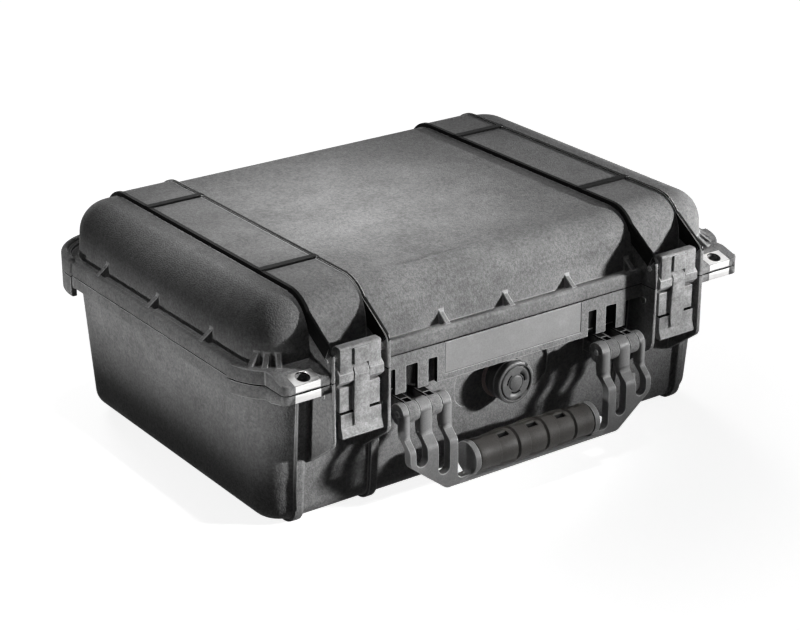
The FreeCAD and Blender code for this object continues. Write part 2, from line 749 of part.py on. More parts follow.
def hinge_knuckles(half, indices):
    """One half's knuckles in a hinge group centred behind a latch bay."""
    radius = "dims.hinge_radius"
    root_y = f"({FLANGE_Y} - dims.flange_wall)"
    web_z = {
        "base": (f"{HINGE_Z} - {radius}", HINGE_Z),
        "lid": (HINGE_Z, f"{HINGE_Z} + {radius}"),
    }[half]
    solids = []
    for index in indices:
        start = f"({hinge_span()[0]} + {index} * {HINGE_PITCH})"
        end = f"({start} + dims.hinge_knuckle_width)"
        solids.append(rod(f"{half}_hinge_knuckle_{index}", "x", radius, start, end, HINGE_Y, HINGE_Z))
        solids.append(block(f"{half}_hinge_web_{index}", (start, end), (root_y, HINGE_Y), web_z))
    return solids


def pin_hole(name, diameter, start, end, y, z):
    """A hole along X for a pin, with the running clearance."""
    return rod(name, "x", f"dims.{diameter} / 2 + dims.pin_clearance", f"{start} - {CUT_MARGIN}",
               f"{end} + {CUT_MARGIN}", y, z)


def padlock_hole(name, half, low, high):
    """The upright hole for a padlock in an ear; the lower ear's hole is wider, so a shackle finds its way in."""
    bore = {"base": "dims.base_padlock_bore", "lid": "dims.padlock_bore"}[half]
    return rod(name, "z", f"{bore} / 2", f"{low} - {CUT_MARGIN}", f"{high} + {CUT_MARGIN}",
               PADLOCK_X, f"-({CHEEK_Y} - dims.padlock_setback)")


def base_holes():
    """Holes and plate seats on one side of the lower half."""
    return [
        pin_hole("base_catch_hole", "catch_pin_diameter", CHEEK_INNER, CHEEK_OUTER, f"-{CATCH_Y}", CATCH_Z),
        pin_hole("base_handle_hole", "handle_pin_diameter", FINGER_START, FINGER_END,
                 f"-{HANDLE_PIN_Y}", HANDLE_PIN_Z),
        pin_hole("base_hinge_hole", "hinge_pin_diameter", *hinge_span(), HINGE_Y, HINGE_Z),
        padlock_hole("base_padlock_hole", "base", BASE_FLANGE_FOOT, PARTING_Z),
        padlock_plate("base_plate_seat", "base", "dims.plate_clearance"),
        *knuckle_slots(),
    ]


def hinge_span():
    """Where a hinge group starts and ends."""
    reach = f"({HINGE_KNUCKLES} * {HINGE_PITCH} - dims.hinge_knuckle_gap) / 2"
    return (f"({LATCH_X} - ({reach}))", f"({LATCH_X} + ({reach}))")


def padlock_plate(name, half, grow):
    """A bent steel plate let into the slope and the front of an ear; grow is the clearance round it."""
    sign = {"base": "-", "lid": "+"}[half]
    flange_height = f"dims.{half}_flange_height"
    rest_z = {"base": f"({PARTING_Z} - dims.parting_gap)", "lid": f"({LID_Z} + dims.parting_gap)"}[half]
    front_y = f"({CHEEK_Y} - dims.ear_setback)"
    root_y = f"({FLANGE_Y} - dims.flange_wall)"
    rise = f"({flange_height} - dims.ear_front_height)"
    slope = f"({rise} / ({front_y} - {root_y}))"
    depth = f"(dims.plate_thickness + {grow})"
    back_y = f"({FLANGE_Y} + dims.plate_thickness - {grow})"

    def skin_z(y, inward):
        return f"({PARTING_Z} {sign} (dims.ear_front_height + {slope} * ({front_y} - {y}) - {inward}))"

    inner_y = f"({front_y} - {depth})"
    points = [
        (f"-{front_y}", rest_z),
        (f"-{front_y}", skin_z(front_y, "0")),
        (f"-{back_y}", skin_z(back_y, "0")),
        (f"-{back_y}", skin_z(back_y, depth)),
        (f"-{inner_y}", skin_z(inner_y, depth)),
        (f"-{inner_y}", rest_z),
    ]
    half_width = f"(dims.plate_width / 2 + {grow})"
    return prism(name, "YZ_Plane", points, f"{PADLOCK_X} - {half_width}", f"2 * {half_width}")


def lid_shell():
    """The upper half: a dome with its rim, gutter, ribbed bands, gussets, cheeks and ears."""
    dome = shell_form("lid_dome", "0", LID_Z, LID_TOP, "dims.lid_draft", "dims.lid_edge_round")
    cavity = shell_form(
        "lid_cavity", "(-dims.wall)", f"({LID_Z} - {CUT_MARGIN})", f"({LID_TOP} - dims.wall)",
        "dims.lid_draft", "(dims.lid_edge_round - dims.wall)",
    )
    rib_planes = join(
        "rib_planes", lid_slice("inner_rib_plane", CHEEK_INNER, BAY_INNER),
        lid_slice("outer_rib_plane", BAY_OUTER, CHEEK_OUTER),
    )
    ribs = raised_lid("rib", rib_planes)
    bands = raised_lid("band", lid_slice("band_plane", BAY_INNER, BAY_OUTER))
    rim = slab("lid_rim_slab", FLANGE_X, FLANGE_Y, "dims.flange_corner", LID_Z, LID_FLANGE_TOP,
               "dims.flange_edge_round")
    gutter = slab("lid_gutter", f"{FLANGE_X} - dims.lip_width", f"{FLANGE_Y} - dims.lip_width",
                  "dims.flange_corner - dims.lip_width", f"({LID_FLANGE_TOP} - dims.gutter_depth)",
                  f"({LID_FLANGE_TOP} + {CUT_MARGIN})")
    groove = rim_ring(
        "lid_groove", "(dims.tongue_offset - dims.groove_clearance)",
        "(dims.tongue_width + 2 * dims.groove_clearance)", f"({LID_Z} - {CUT_MARGIN})",
        f"({PARTING_Z} + dims.tongue_rise + 2 * dims.seal_clearance + dims.seal_height)",
    )
    side_pieces = join(
        "lid_side_pieces", *lid_cheeks(), *cross_bars(), *side_gussets(), *corner_gussets(), lid_ear(),
        *hinge_knuckles("lid", range(1, HINGE_KNUCKLES, 2)),
    )
    outside = join(
        "lid_outside", dome, ribs, bands, cut("lid_rim", rim, gutter),
        both_sides("lid_sides", side_pieces), *end_gussets(), corner_bumpers("lid"),
    )
    holes = join("lid_side_holes", *lid_holes())
    return cut("lid_shell", outside, cavity, groove, both_sides("lid_holes", holes))


def lid_slice(name, start, end):
    """The space over and in front of the dome between two positions across the case."""
    return block(name, (start, end), (f"-{FLANGE_Y}", FLANGE_Y), (LID_Z, f"({LID_TOP} + dims.rib_rise)"))


def raised_lid(kind, planes):
    """The dome grown by the rise of its ribs or bands, where the planes on both sides cross it."""
    rise = f"dims.{kind}_rise"
    form = shell_form(
        f"lid_{kind}_form", rise, LID_Z, f"({LID_TOP} + {rise})", "dims.lid_draft",
        f"(dims.lid_edge_round + {rise})",
    )
    return overlap(f"lid_{kind}s", form, both_sides(f"{kind}_planes_all", planes))


def cross_bars():
    """The two bars across one band of the lid and its ribs."""
    reach = f"({FLANGE_Y} - dims.cross_bar_setback)"
    half = "dims.cross_bar_width / 2"
    return [
        block(
            f"cross_bar_{end}", (CHEEK_INNER, CHEEK_OUTER),
            (f"{sign}{reach} - {half}", f"{sign}{reach} + {half}"),
            (f"{LID_TOP} - {ROOT_DEPTH}", f"({LID_TOP} + dims.rib_rise + dims.cross_bar_proud)"),
        )
        for end, sign in (("front", "-"), ("back", ""))
    ]


def gusset_points(wall, rim, sign):
    """A small triangular rib across the gutter, from the lip up the side of the dome."""
    foot_z = f"({LID_FLANGE_TOP} - dims.gutter_depth - {ROOT_DEPTH})"
    top_z = f"({LID_FLANGE_TOP} + dims.gusset_rise)"
    root = f"({wall} - dims.gusset_rise)"
    tip = f"({rim} - dims.lip_width / 2)"
    return [
        (f"{sign}{root}", foot_z), (f"{sign}{tip}", foot_z), (f"{sign}{tip}", LID_FLANGE_TOP),
        (f"{sign}({wall} - dims.gusset_width)", top_z), (f"{sign}{root}", top_z),
    ]


def gusset_row(name, role, points, middle, spacing, count):
    """A row of equal gussets, evenly spaced about a middle."""
    first = f"({middle} - {(count - 1) / 2} * {spacing} - dims.gusset_width / 2)"
    return [
        prism(f"{name}_{index}", role, points, f"{first} + {index} * {spacing}", "dims.gusset_width")
        for index in range(count)
    ]


def side_gussets():
    """Three gussets along one side of the lid."""
    points = gusset_points(BODY_X, FLANGE_X, "")
    spacing = f"({FLANGE_Y} - dims.side_gusset_setback)"
    return gusset_row("side_gusset", "XZ_Plane", points, "0", spacing, 3)


def end_gussets():
    """Gussets along the front and the back of the lid, between the inner cheeks."""
    count = 5
    spacing = f"(2 * ({CHEEK_INNER} - dims.front_gusset_gap) / {count - 1})"
    rows = []
    for end, sign in (("front", "-"), ("back", "")):
        points = gusset_points(BODY_Y, FLANGE_Y, sign)
        rows += gusset_row(f"{end}_gusset", "YZ_Plane", points, "0", spacing, count)
    return rows


def corner_gussets():
    """Three gussets round one front corner of the lid, behind the padlock ear."""
    points = gusset_points(BODY_CORNER, "dims.flange_corner", "")
    diagonal = 45
    gussets = []
    for index, step in enumerate((-1, 0, 1)):
        gusset = prism(
            f"corner_gusset_{index}", "XZ_Plane", points, "-dims.gusset_width / 2", "dims.gusset_width",
        )
        gusset.Placement.Rotation = FreeCAD.Rotation(FreeCAD.Vector(0, 0, -1), diagonal)
        gusset.setExpression("Placement.Rotation.Angle", f"{diagonal} + {step} * dims.corner_gusset_angle")
        gussets.append(place(
            gusset, f"{FLANGE_X} - dims.flange_corner", f"-({FLANGE_Y} - dims.flange_corner)", "0",
        ))
    return gussets


def lid_holes():
    """Holes and plate seats on one side of the upper half."""
    return [
        pin_hole("lid_latch_hole", "latch_pin_diameter", CHEEK_INNER, CHEEK_OUTER,
                 f"-{LATCH_PIN_Y}", LINK_PIN_Z),
        pin_hole("lid_hinge_hole", "hinge_pin_diameter", *hinge_span(), HINGE_Y, HINGE_Z),
        padlock_hole("lid_padlock_hole", "lid", LID_Z, LID_FLANGE_TOP),
        padlock_plate("lid_plate_seat", "lid", "dims.plate_clearance"),
    ]


def lid_seal():
    """The rubber seal in the roof of the lid's groove."""
    low = f"({PARTING_Z} + dims.tongue_rise + dims.seal_clearance)"
    high = f"({low} + dims.seal_height)"
    return rim_ring("lid_seal", "dims.tongue_offset", "dims.tongue_width", low, high)


def nameplate():
    """The blank plate in the apron's recess."""
    top_z = f"({PARTING_Z} - dims.nameplate_margin - dims.nameplate_clearance)"
    return block(
        "nameplate", (f"-{NAMEPLATE_HALF}", NAMEPLATE_HALF),
        (f"-{FLANGE_Y}", f"-({FLANGE_Y} - dims.nameplate_thickness)"),
        (f"{top_z} - dims.nameplate_height", top_z),
    )


def finished_plate(half):
    """A padlock plate with its hole."""
    plate = padlock_plate(f"{half}_plate_blank", half, "0")
    hole = padlock_hole(f"{half}_plate_hole", half, BASE_FLANGE_FOOT, LID_FLANGE_TOP)
    return cut(f"right_{half}_padlock_plate", plate, hole)


def latch_x(half_width):
    """A span across a latch, about the middle of its bay."""
    return (f"({LATCH_X} - ({half_width}))", f"({LATCH_X} + ({half_width}))")


def octagon(y, z, apothem):
    """The corners of an eight-sided outline that stands level about a point."""
    sides = 8
    half_turn = 180 / sides
    reach = f"({apothem} / cos({half_turn}))"
    angles = [half_turn * (2 * index + 1) for index in range(sides)]
    return [(f"({y} + {reach} * cos({angle}))", f"({z} + {reach} * sin({angle}))") for angle in angles]


def latch_link():
    """The upper piece of a latch: a block on the lid's pin with two ears that carry the lever."""
    back_y = f"({LATCH_PIN_Y} - dims.link_back_depth)"
    foot_z = f"({PARTING_Z} + dims.link_block_foot)"
    top_z = f"({PARTING_Z} + dims.link_block_rise)"
    chamfer = "dims.link_back_chamfer"
    points = [
        (f"-{LATCH_FRONT_Y}", foot_z),
        (f"-{LATCH_FRONT_Y}", top_z),
        (f"-({back_y} + {chamfer})", top_z),
        (f"-{back_y}", f"({top_z} - {chamfer})"),
        (f"-{back_y}", foot_z),
    ]
    start, end = latch_x(LATCH_HALF)
    head = prism("link_head", "YZ_Plane", points, start, f"{end} - {start}", [(1, "dims.latch_step")])
    middle = block(
        "link_middle", latch_x(STEM_HALF), (f"-({LATCH_FRONT_Y} + dims.latch_step)", f"-{LATCH_PIN_Y}"),
        (foot_z, f"({top_z} - dims.latch_step)"),
    )
    solids = [head, middle]
    ear_outline = octagon(f"-{LATCH_PIN_Y}", LEVER_PIN_Z, "dims.latch_ear_radius")
    for side, ear_start, arm_start in (
        ("right", EAR_INNER, EAR_INNER),
        ("left", f"(-{EAR_OUTER})", f"(-{LATCH_HALF})"),
    ):
        arm_x = f"({LATCH_X} + {arm_start})"
        solids.append(prism(
            f"link_ear_{side}", "YZ_Plane", ear_outline, f"{LATCH_X} + {ear_start}",
            f"{EAR_OUTER} - {EAR_INNER}",
        ))
        solids.append(block(
            f"link_arm_{side}", (arm_x, f"({arm_x} + {LATCH_HALF} - {EAR_INNER})"),
            (f"-{LATCH_FRONT_Y}", f"-{back_y}"), (LEVER_PIN_Z, f"{foot_z} + {ROOT_DEPTH}"),
        ))
    span = latch_x(EAR_OUTER)
    lid_pin = pin_hole("link_lid_hole", "latch_pin_diameter", *span, f"-{LATCH_PIN_Y}", LINK_PIN_Z)
    lever_pin = pin_hole("link_lever_hole", "latch_pin_diameter", *span, f"-{LATCH_PIN_Y}", LEVER_PIN_Z)
    return cut("right_latch_link", join("link_solid", *solids), lid_pin, lever_pin)


def latch_lever():
    """The lower piece of a latch: a barrel on the link's pin, a stem, side panels, a tab and a jaw."""
    stem_front = f"({LATCH_FRONT_Y} + dims.latch_step)"
    web_front = f"({LATCH_FRONT_Y} - dims.web_front_depth)"
    web_back = f"({web_front} - dims.web_thickness)"
    web_top = f"({LEVER_PIN_Z} - dims.lever_barrel_radius - dims.latch_side_gap)"
    tab_top = f"({PARTING_Z} - dims.tab_top_drop)"
    tab_foot = f"({PARTING_Z} - dims.tab_bottom_drop)"
    tab_bend = f"({tab_foot} + dims.tab_bend_height)"
    web = block("lever_web", latch_x(LATCH_HALF), (f"-{web_front}", f"-{web_back}"),
                (f"{tab_top} - {ROOT_DEPTH}", web_top))
    tab_points = [
        (f"-{web_back}", tab_top),
        (f"-{LATCH_FRONT_Y}", tab_top),
        (f"-{LATCH_FRONT_Y}", tab_bend),
        (f"-({LATCH_FRONT_Y} + dims.tab_lip)", f"({tab_foot} + dims.latch_step)"),
        (f"-({LATCH_FRONT_Y} + dims.tab_lip - dims.latch_step)", tab_foot),
        (f"-({web_front} - dims.latch_step)", tab_foot),
        (f"-{web_back}", tab_bend),
    ]
    start, end = latch_x(LATCH_HALF)
    tab = prism("lever_tab", "YZ_Plane", tab_points, start, f"{end} - {start}", [(2, "dims.cheek_round")])
    slit = block(
        "lever_slit", latch_x(f"{LATCH_HALF} + {CUT_MARGIN}"),
        (f"-({stem_front} + {CUT_MARGIN})", f"-({web_front} - dims.latch_slit_depth)"),
        (tab_top, f"({tab_top} + dims.latch_slit)"),
    )
    panels = cut("lever_panels", join("lever_plate", web, tab), slit)
    stem = block("lever_stem", latch_x(STEM_HALF), (f"-{stem_front}", f"-{web_back}"),
                 (tab_bend, f"({LEVER_PIN_Z} + dims.latch_step)"))
    barrel = rod("lever_barrel", "x", "dims.lever_barrel_radius", *latch_x(STEM_HALF),
                 f"-{LATCH_PIN_Y}", LEVER_PIN_Z)
    catch_foot = f"({CATCH_Z} - dims.catch_pin_diameter / 2 - dims.jaw_clearance)"
    jaw = block(
        "lever_jaw", latch_x(f"{LATCH_HALF} - dims.latch_ear_reach"),
        (f"-{web_front}", f"-({CATCH_Y} - dims.catch_pin_diameter / 2)"),
        (f"{catch_foot} - dims.jaw_thickness", catch_foot),
    )
    solid = join("lever_solid", panels, stem, barrel, jaw)
    hole = pin_hole("lever_hole", "latch_pin_diameter", *latch_x(STEM_HALF), f"-{LATCH_PIN_Y}", LEVER_PIN_Z)
    return cut("right_latch_lever", solid, hole)


def straight_pin(name, diameter, start, end, y, z):
    """A plain pin along X."""
    return rod(name, "x", f"dims.{diameter} / 2", start, end, y, z)


def handle_frame():
    """The swinging frame: three fingers on each pin, arms that jog forwards, collars and a lower bar."""
    jog_top = f"({PARTING_Z} - dims.jog_top_drop)"
    jog_low = f"({PARTING_Z} - dims.jog_low_drop)"
    foot = f"({PARTING_Z} - dims.handle_drop)"
    high_back = f"({ARM_FRONT} - dims.arm_thickness)"
    low_front = f"({ARM_FRONT} + dims.arm_jog)"
    low_back = f"({low_front} - dims.arm_thickness)"
    side_points = [
        (f"-{high_back}", HANDLE_PIN_Z),
        (f"-{ARM_FRONT}", HANDLE_PIN_Z),
        (f"-{ARM_FRONT}", jog_top),
        (f"-{low_front}", jog_low),
        (f"-{low_front}", foot),
        (f"-{low_back}", foot),
        (f"-{low_back}", jog_low),
        (f"-{high_back}", jog_top),
    ]
    bend = "dims.arm_thickness"
    side_form = prism("handle_side_form", "YZ_Plane", side_points, f"-{FINGER_END}", f"2 * {FINGER_END}",
                      [(2, bend), (3, bend), (6, bend), (7, bend)])
    bar_top = f"({foot} + dims.rail_bar_height)"
    notch_foot = f"({PARTING_Z} - dims.handle_notch_drop)"
    collar_end = f"({GRIP_HALF} + dims.collar_width)"
    outline = [
        ("0", foot),
        (f"({FINGER_END} - dims.handle_corner_inset)", foot),
        (FINGER_END, f"({PARTING_Z} - dims.handle_chamfer_drop)"),
        (FINGER_END, HANDLE_PIN_Z),
        (FINGER_START, HANDLE_PIN_Z),
        (FINGER_START, notch_foot),
        (collar_end, notch_foot),
        (collar_end, GRIP_Z),
        (GRIP_HALF, GRIP_Z),
        (GRIP_HALF, bar_top),
        ("0", bar_top),
    ]
    notch_round = "dims.handle_notch_round"
    front_form = prism("handle_front_form", "XZ_Plane", outline, high_back, f"{low_front} - {high_back}",
                       [(1, bend), (2, bend), (5, notch_round), (6, notch_round)])
    arm = cut("handle_arm_plan", front_form, *handle_slots())
    plate = overlap("handle_plate", both_sides("handle_arms", arm), side_form)
    barrels = join("handle_fingers", *[
        rod(f"handle_finger_{index}", "x", "dims.handle_knuckle_radius", finger_x(index),
            finger_end(index), f"-{HANDLE_PIN_Y}", HANDLE_PIN_Z)
        for index in range(len(FINGER_WIDTHS))
    ])
    collar = rod("handle_collar", "x", "dims.grip_end_radius + dims.collar_rise", GRIP_HALF, collar_end,
                 f"-{GRIP_Y}", GRIP_Z)
    core = rod("handle_core", "x", "dims.grip_core_radius", f"-{collar_end}", collar_end,
               f"-{GRIP_Y}", GRIP_Z)
    hook = block(
        "handle_hook", (f"{finger_end(1)} - {ROOT_DEPTH}", f"{finger_end(1)} + dims.hook_width"),
        (f"-({low_back} + dims.hook_width)", f"-{low_back}"),
        (f"({PARTING_Z} - dims.hook_drop)", f"({jog_top} + {jog_low}) / 2"),
    )
    ends = both_sides("handle_ends", join("handle_end", barrels, collar))
    solid = join("handle_solid", plate, core, ends, hook)
    hole = pin_hole("handle_hole", "handle_pin_diameter", FINGER_START, FINGER_END,
                    f"-{HANDLE_PIN_Y}", HANDLE_PIN_Z)
    return cut("handle_frame", solid, both_sides("handle_holes", hole))


def handle_slots():
    """The two slots with round feet between the fingers of one arm."""
    front_y = f"-({ARM_FRONT} + dims.arm_jog + {CUT_MARGIN})"
    back_y = f"-({ARM_FRONT} - dims.arm_thickness - {CUT_MARGIN})"
    slots = []
    for index, drop in enumerate(("dims.inner_slot_drop", "dims.outer_slot_drop")):
        low_x = finger_end(index)
        high_x = finger_x(index + 1)
        radius = f"(({high_x} - {low_x}) / 2)"
        foot_z = f"({PARTING_Z} - {drop} + {radius})"
        slots.append(block(
            f"handle_slot_{index}", (low_x, high_x), (front_y, back_y),
            (foot_z, f"{HANDLE_PIN_Z} + {CUT_MARGIN}"),
        ))
        slots.append(rod(
            f"handle_slot_foot_{index}", "y", radius, front_y, back_y, f"({low_x} + {radius})", foot_z,
        ))
    return slots


def handle_grip():
    """The rubber sleeve on the handle's core: a barrel with three low ridges, flat where it sits on the bar."""
    ridges = 3
    steps = 2 * ridges
    core = "(dims.grip_core_radius + dims.pin_clearance)"
    points = [(f"-{GRIP_HALF}", core)]
    for index in range(steps + 1):
        share = 2 * index / steps - 1
        valley = "dims.grip_valley" if index % 2 == 0 else "0"
        swell = f"(dims.grip_radius - dims.grip_end_radius) * {1 - share ** 2}"
        points.append((f"({GRIP_HALF} * {share})", f"(dims.grip_end_radius + {swell} - {valley})"))
    points.append((GRIP_HALF, core))
    barrel = place(turned("grip_barrel", "XY_Plane", points), "0", f"-{GRIP_Y}", GRIP_Z)
    bar_top = f"({PARTING_Z} - dims.handle_drop + dims.rail_bar_height)"
    under_bar = block(
        "grip_flat", (f"-({GRIP_HALF} + {CUT_MARGIN})", f"{GRIP_HALF} + {CUT_MARGIN}"),
        (f"-({GRIP_Y} + dims.grip_radius + {CUT_MARGIN})", f"-({GRIP_Y} - dims.grip_radius - {CUT_MARGIN})"),
        (f"{GRIP_Z} - dims.grip_radius - {CUT_MARGIN}", f"{bar_top} + dims.pin_clearance"),
    )
    return cut("handle_grip", barrel, under_bar)


def valve_gasket():
    """The flat ring under the valve's flange."""
    hole = "dims.valve_stem_radius + dims.pin_clearance"
    points = [
        (f"-{GASKET_FRONT}", hole), (f"-{VALVE_SEAT}", hole),
        (f"-{VALVE_SEAT}", "dims.valve_gasket_radius"), (f"-{GASKET_FRONT}", "dims.valve_gasket_radius"),
    ]
    return turned("valve_gasket", "YZ_Plane", points, VALVE_Z)


def valve_body():
    """The tube through the wall, with the flange that presses the gasket and a vented web under the spindle."""
    back = f"-({GASKET_FRONT} - dims.valve_stem_length)"
    web_front = f"-({VALVE_FRONT} - dims.valve_socket_depth)"
    web_back = f"({web_front} + dims.valve_web_thickness)"
    points = [
        (f"-{VALVE_FRONT}", "dims.valve_bore_radius"), (web_front, "dims.valve_bore_radius"),
        (web_front, "0"), (web_back, "0"),
        (web_back, "dims.valve_bore_radius"), (back, "dims.valve_bore_radius"),
        (back, "dims.valve_stem_radius"), (f"-{GASKET_FRONT}", "dims.valve_stem_radius"),
        (f"-{GASKET_FRONT}", "dims.valve_flange_radius"), (f"-{VALVE_FRONT}", "dims.valve_flange_radius"),
    ]
    vents = [
        rod(f"valve_vent_{angle}", "y", "dims.valve_vent_radius", f"{web_front} - {CUT_MARGIN}",
            f"{web_back} + {CUT_MARGIN}", f"dims.valve_vent_offset * cos({angle})",
            f"{VALVE_Z} + dims.valve_vent_offset * sin({angle})")
        for angle in VALVE_VENT_ANGLES
    ]
    return cut("valve_body", turned("valve_tube", "YZ_Plane", points, VALVE_Z), *vents)


def valve_knob():
    """The round cap that turns on its spindle in the valve, with a ring groove in its face."""
    back = f"({VALVE_FRONT} + dims.valve_knob_gap)"
    face = f"({back} + dims.valve_knob_depth)"
    inner = "(dims.valve_groove_radius - dims.valve_groove_width / 2)"
    outer = "(dims.valve_groove_radius + dims.valve_groove_width / 2)"
    groove = f"({face} - dims.valve_groove_depth)"
    edge = "dims.valve_groove_depth"
    points = [
        (f"-{face}", "0"), (f"-{face}", inner), (f"-{groove}", inner), (f"-{groove}", outer),
        (f"-{face}", outer), (f"-{face}", f"dims.valve_knob_radius - {edge}"),
        (f"-({face} - {edge})", "dims.valve_knob_radius"), (f"-{back}", "dims.valve_knob_radius"),
        (f"-{back}", "dims.valve_spindle_radius"),
        (f"-({VALVE_FRONT} - dims.valve_spindle_length)", "dims.valve_spindle_radius"),
        (f"-({VALVE_FRONT} - dims.valve_spindle_length)", "0"),
    ]
    return turned("valve_knob", "YZ_Plane", points, VALVE_Z)


def valve_membrane():
    """The breathing disc at the inner end of the valve."""
    back = f"({GASKET_FRONT} - dims.valve_stem_length)"
    rim = "dims.valve_bore_radius - dims.pin_clearance"
    front = f"({back} + dims.valve_membrane_thickness)"
    points = [(f"-{front}", "0"), (f"-{back}", "0"), (f"-{back}", rim), (f"-{front}", rim)]
    return turned("valve_membrane", "YZ_Plane", points, VALVE_Z)


def valve_nut():
    """The six-sided nut that holds the valve from inside."""
    nut = doc.addObject("Part::Prism", "valve_nut_blank")
    nut.Polygon = 6
    nut.Placement = FreeCAD.Placement(FreeCAD.Vector(), AXIS_TURN["y"])
    nut.setExpression("Circumradius", "dims.valve_nut_width / 2")
    nut.setExpression("Height", "dims.valve_nut_thickness")
    place(nut, "0", f"-{BOSS_BACK}", VALVE_Z)
    hole = rod("valve_nut_hole", "y", "dims.valve_stem_radius + dims.pin_clearance",
               f"-{BOSS_BACK} - {CUT_MARGIN}", f"-{BOSS_BACK} + dims.valve_nut_thickness + {CUT_MARGIN}",
               "0", VALVE_Z)
    return cut("valve_nut", nut, hole)


def paired(right_piece):
    """A right-hand piece and its left-hand twin, named for their sides."""
    return [right_piece, mirrored(right_piece.Name.replace("right_", "left_"), right_piece)]


pieces = [base_shell(), lid_shell(), lid_seal(), nameplate()]
pieces += paired(finished_plate("base"))
pieces += paired(finished_plate("lid"))
pieces += paired(latch_link())
pieces += paired(latch_lever())
pieces += paired(straight_pin("right_latch_lid_pin", "latch_pin_diameter", CHEEK_INNER, CHEEK_OUTER,
                              f"-{LATCH_PIN_Y}", LINK_PIN_Z))
pieces += paired(straight_pin("right_latch_lever_pin", "latch_pin_diameter", *latch_x(EAR_OUTER),
                              f"-{LATCH_PIN_Y}", LEVER_PIN_Z))
pieces += paired(straight_pin("right_catch_pin", "catch_pin_diameter", CHEEK_INNER, CHEEK_OUTER,
                              f"-{CATCH_Y}", CATCH_Z))
pieces += paired(straight_pin("right_handle_pin", "handle_pin_diameter", FINGER_START, FINGER_END,
                              f"-{HANDLE_PIN_Y}", HANDLE_PIN_Z))
pieces += paired(straight_pin("right_hinge_pin", "hinge_pin_diameter", *hinge_span(), HINGE_Y, HINGE_Z))
pieces += [handle_frame(), handle_grip()]
pieces += [valve_gasket(), valve_body(), valve_knob(), valve_membrane(), valve_nut()]

doc.recompute()
failed = [item.Name for item in doc.Objects if "Invalid" in item.State or "Error" in item.State]
if failed:
    raise RuntimeError(f"objects that failed: {failed}")
for piece in pieces:
    piece.Label = piece.Name
    if piece.Shape.isNull() or not piece.Shape.isValid():
        raise RuntimeError(f"{piece.Label} has no valid shape")

boxes = [piece.Shape.BoundBox for piece in pieces]
middle_y = (min(box.YMin for box in boxes) + max(box.YMax for box in boxes)) / 2
to_middle = FreeCAD.Vector(0, -middle_y, 0)
os.makedirs("parts", exist_ok=True)
for piece in pieces:
    piece.Shape.translated(to_middle).exportStep(os.path.join("parts", f"{piece.Label}.step"))
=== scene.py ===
import math
from functools import partial

import bmesh
import bpy
from mathutils import Matrix, Vector
from mathutils.bvhtree import BVHTree
from mathutils.kdtree import KDTree


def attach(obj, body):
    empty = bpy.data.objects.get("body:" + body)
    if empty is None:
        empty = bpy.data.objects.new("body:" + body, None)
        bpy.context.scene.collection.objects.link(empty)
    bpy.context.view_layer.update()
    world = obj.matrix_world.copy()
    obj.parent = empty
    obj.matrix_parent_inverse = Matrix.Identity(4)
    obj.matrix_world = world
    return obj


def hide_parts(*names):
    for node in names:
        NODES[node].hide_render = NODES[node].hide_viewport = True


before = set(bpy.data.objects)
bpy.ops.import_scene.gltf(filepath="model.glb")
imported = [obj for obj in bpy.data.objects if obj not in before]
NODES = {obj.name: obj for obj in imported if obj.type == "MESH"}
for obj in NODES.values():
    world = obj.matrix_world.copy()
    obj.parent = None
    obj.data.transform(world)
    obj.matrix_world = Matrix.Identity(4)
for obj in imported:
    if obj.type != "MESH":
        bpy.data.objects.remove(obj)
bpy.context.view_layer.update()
SIDES = ("right", "left")
MM = 0.001


# Node trees

FLOAT, COLOUR, COUNT = "NodeSocketFloat", "NodeSocketColor", "NodeSocketInt"
GEOMETRY, MATERIAL = "NodeSocketGeometry", "NodeSocketMaterial"


def add(tree, kind, inputs=None, **settings):
    """A node with its settings, each input a constant or the socket that feeds it."""
    made = tree.nodes.new(kind)
    for name, value in settings.items():
        setattr(made, name, value)
    for key, value in (inputs or {}).items():
        if isinstance(value, bpy.types.NodeSocket):
            tree.links.new(value, made.inputs[key])
        else:
            made.inputs[key].default_value = value
    return made


def maths(tree, operation, *values, clamp=False):
    """The result of one sum on sockets and numbers."""
    made = add(tree, "ShaderNodeMath", dict(enumerate(values)), operation=operation,
               use_clamp=clamp)
    return made.outputs[0]


def spread(tree, value, low, high, new_low=0.0, new_high=1.0, smooth=False):
    """A value carried from one range to another and held inside it."""
    made = add(tree, "ShaderNodeMapRange", {0: value, 1: low, 2: high, 3: new_low, 4: new_high},
               interpolation_type="SMOOTHSTEP" if smooth else "LINEAR")
    return made.outputs[0]


def inside(tree, value, low, high, soft):
    """One between two limits, falling softly to nothing outside them."""
    rising = spread(tree, value, maths(tree, "SUBTRACT", low, soft), low, smooth=True)
    falling = spread(tree, value, high, maths(tree, "ADD", high, soft), 1.0, 0.0, smooth=True)
    return maths(tree, "MULTIPLY", rising, falling)


def blended(tree, factor, first, second):
    """One colour passing into another."""
    made = add(tree, "ShaderNodeMix", {0: factor, 6: first, 7: second}, data_type="RGBA")
    return made.outputs[2]


def object_place(tree):
    """The place on the object, which all the textures follow."""
    return add(tree, "ShaderNodeTexCoord").outputs["Object"]


def noise(tree, place, rate, detail, roughness=0.5):
    """The value of a noise at a place."""
    return add(tree, "ShaderNodeTexNoise",
               {"Vector": place, "Scale": rate, "Detail": detail, "Roughness": roughness}
               ).outputs["Fac"]


def new_group(name, kind, inputs, outputs):
    """An empty node group with its named sockets, and its input and output nodes."""
    group = bpy.data.node_groups.new(name, kind)
    for label, socket, value in inputs:
        made = group.interface.new_socket(label, in_out="INPUT", socket_type=socket)
        if value is not None:
            made.default_value = value
    for label, socket in outputs:
        group.interface.new_socket(label, in_out="OUTPUT", socket_type=socket)
    given = group.nodes.new("NodeGroupInput").outputs
    return group, given, group.nodes.new("NodeGroupOutput").inputs


# Effects that several finishes share

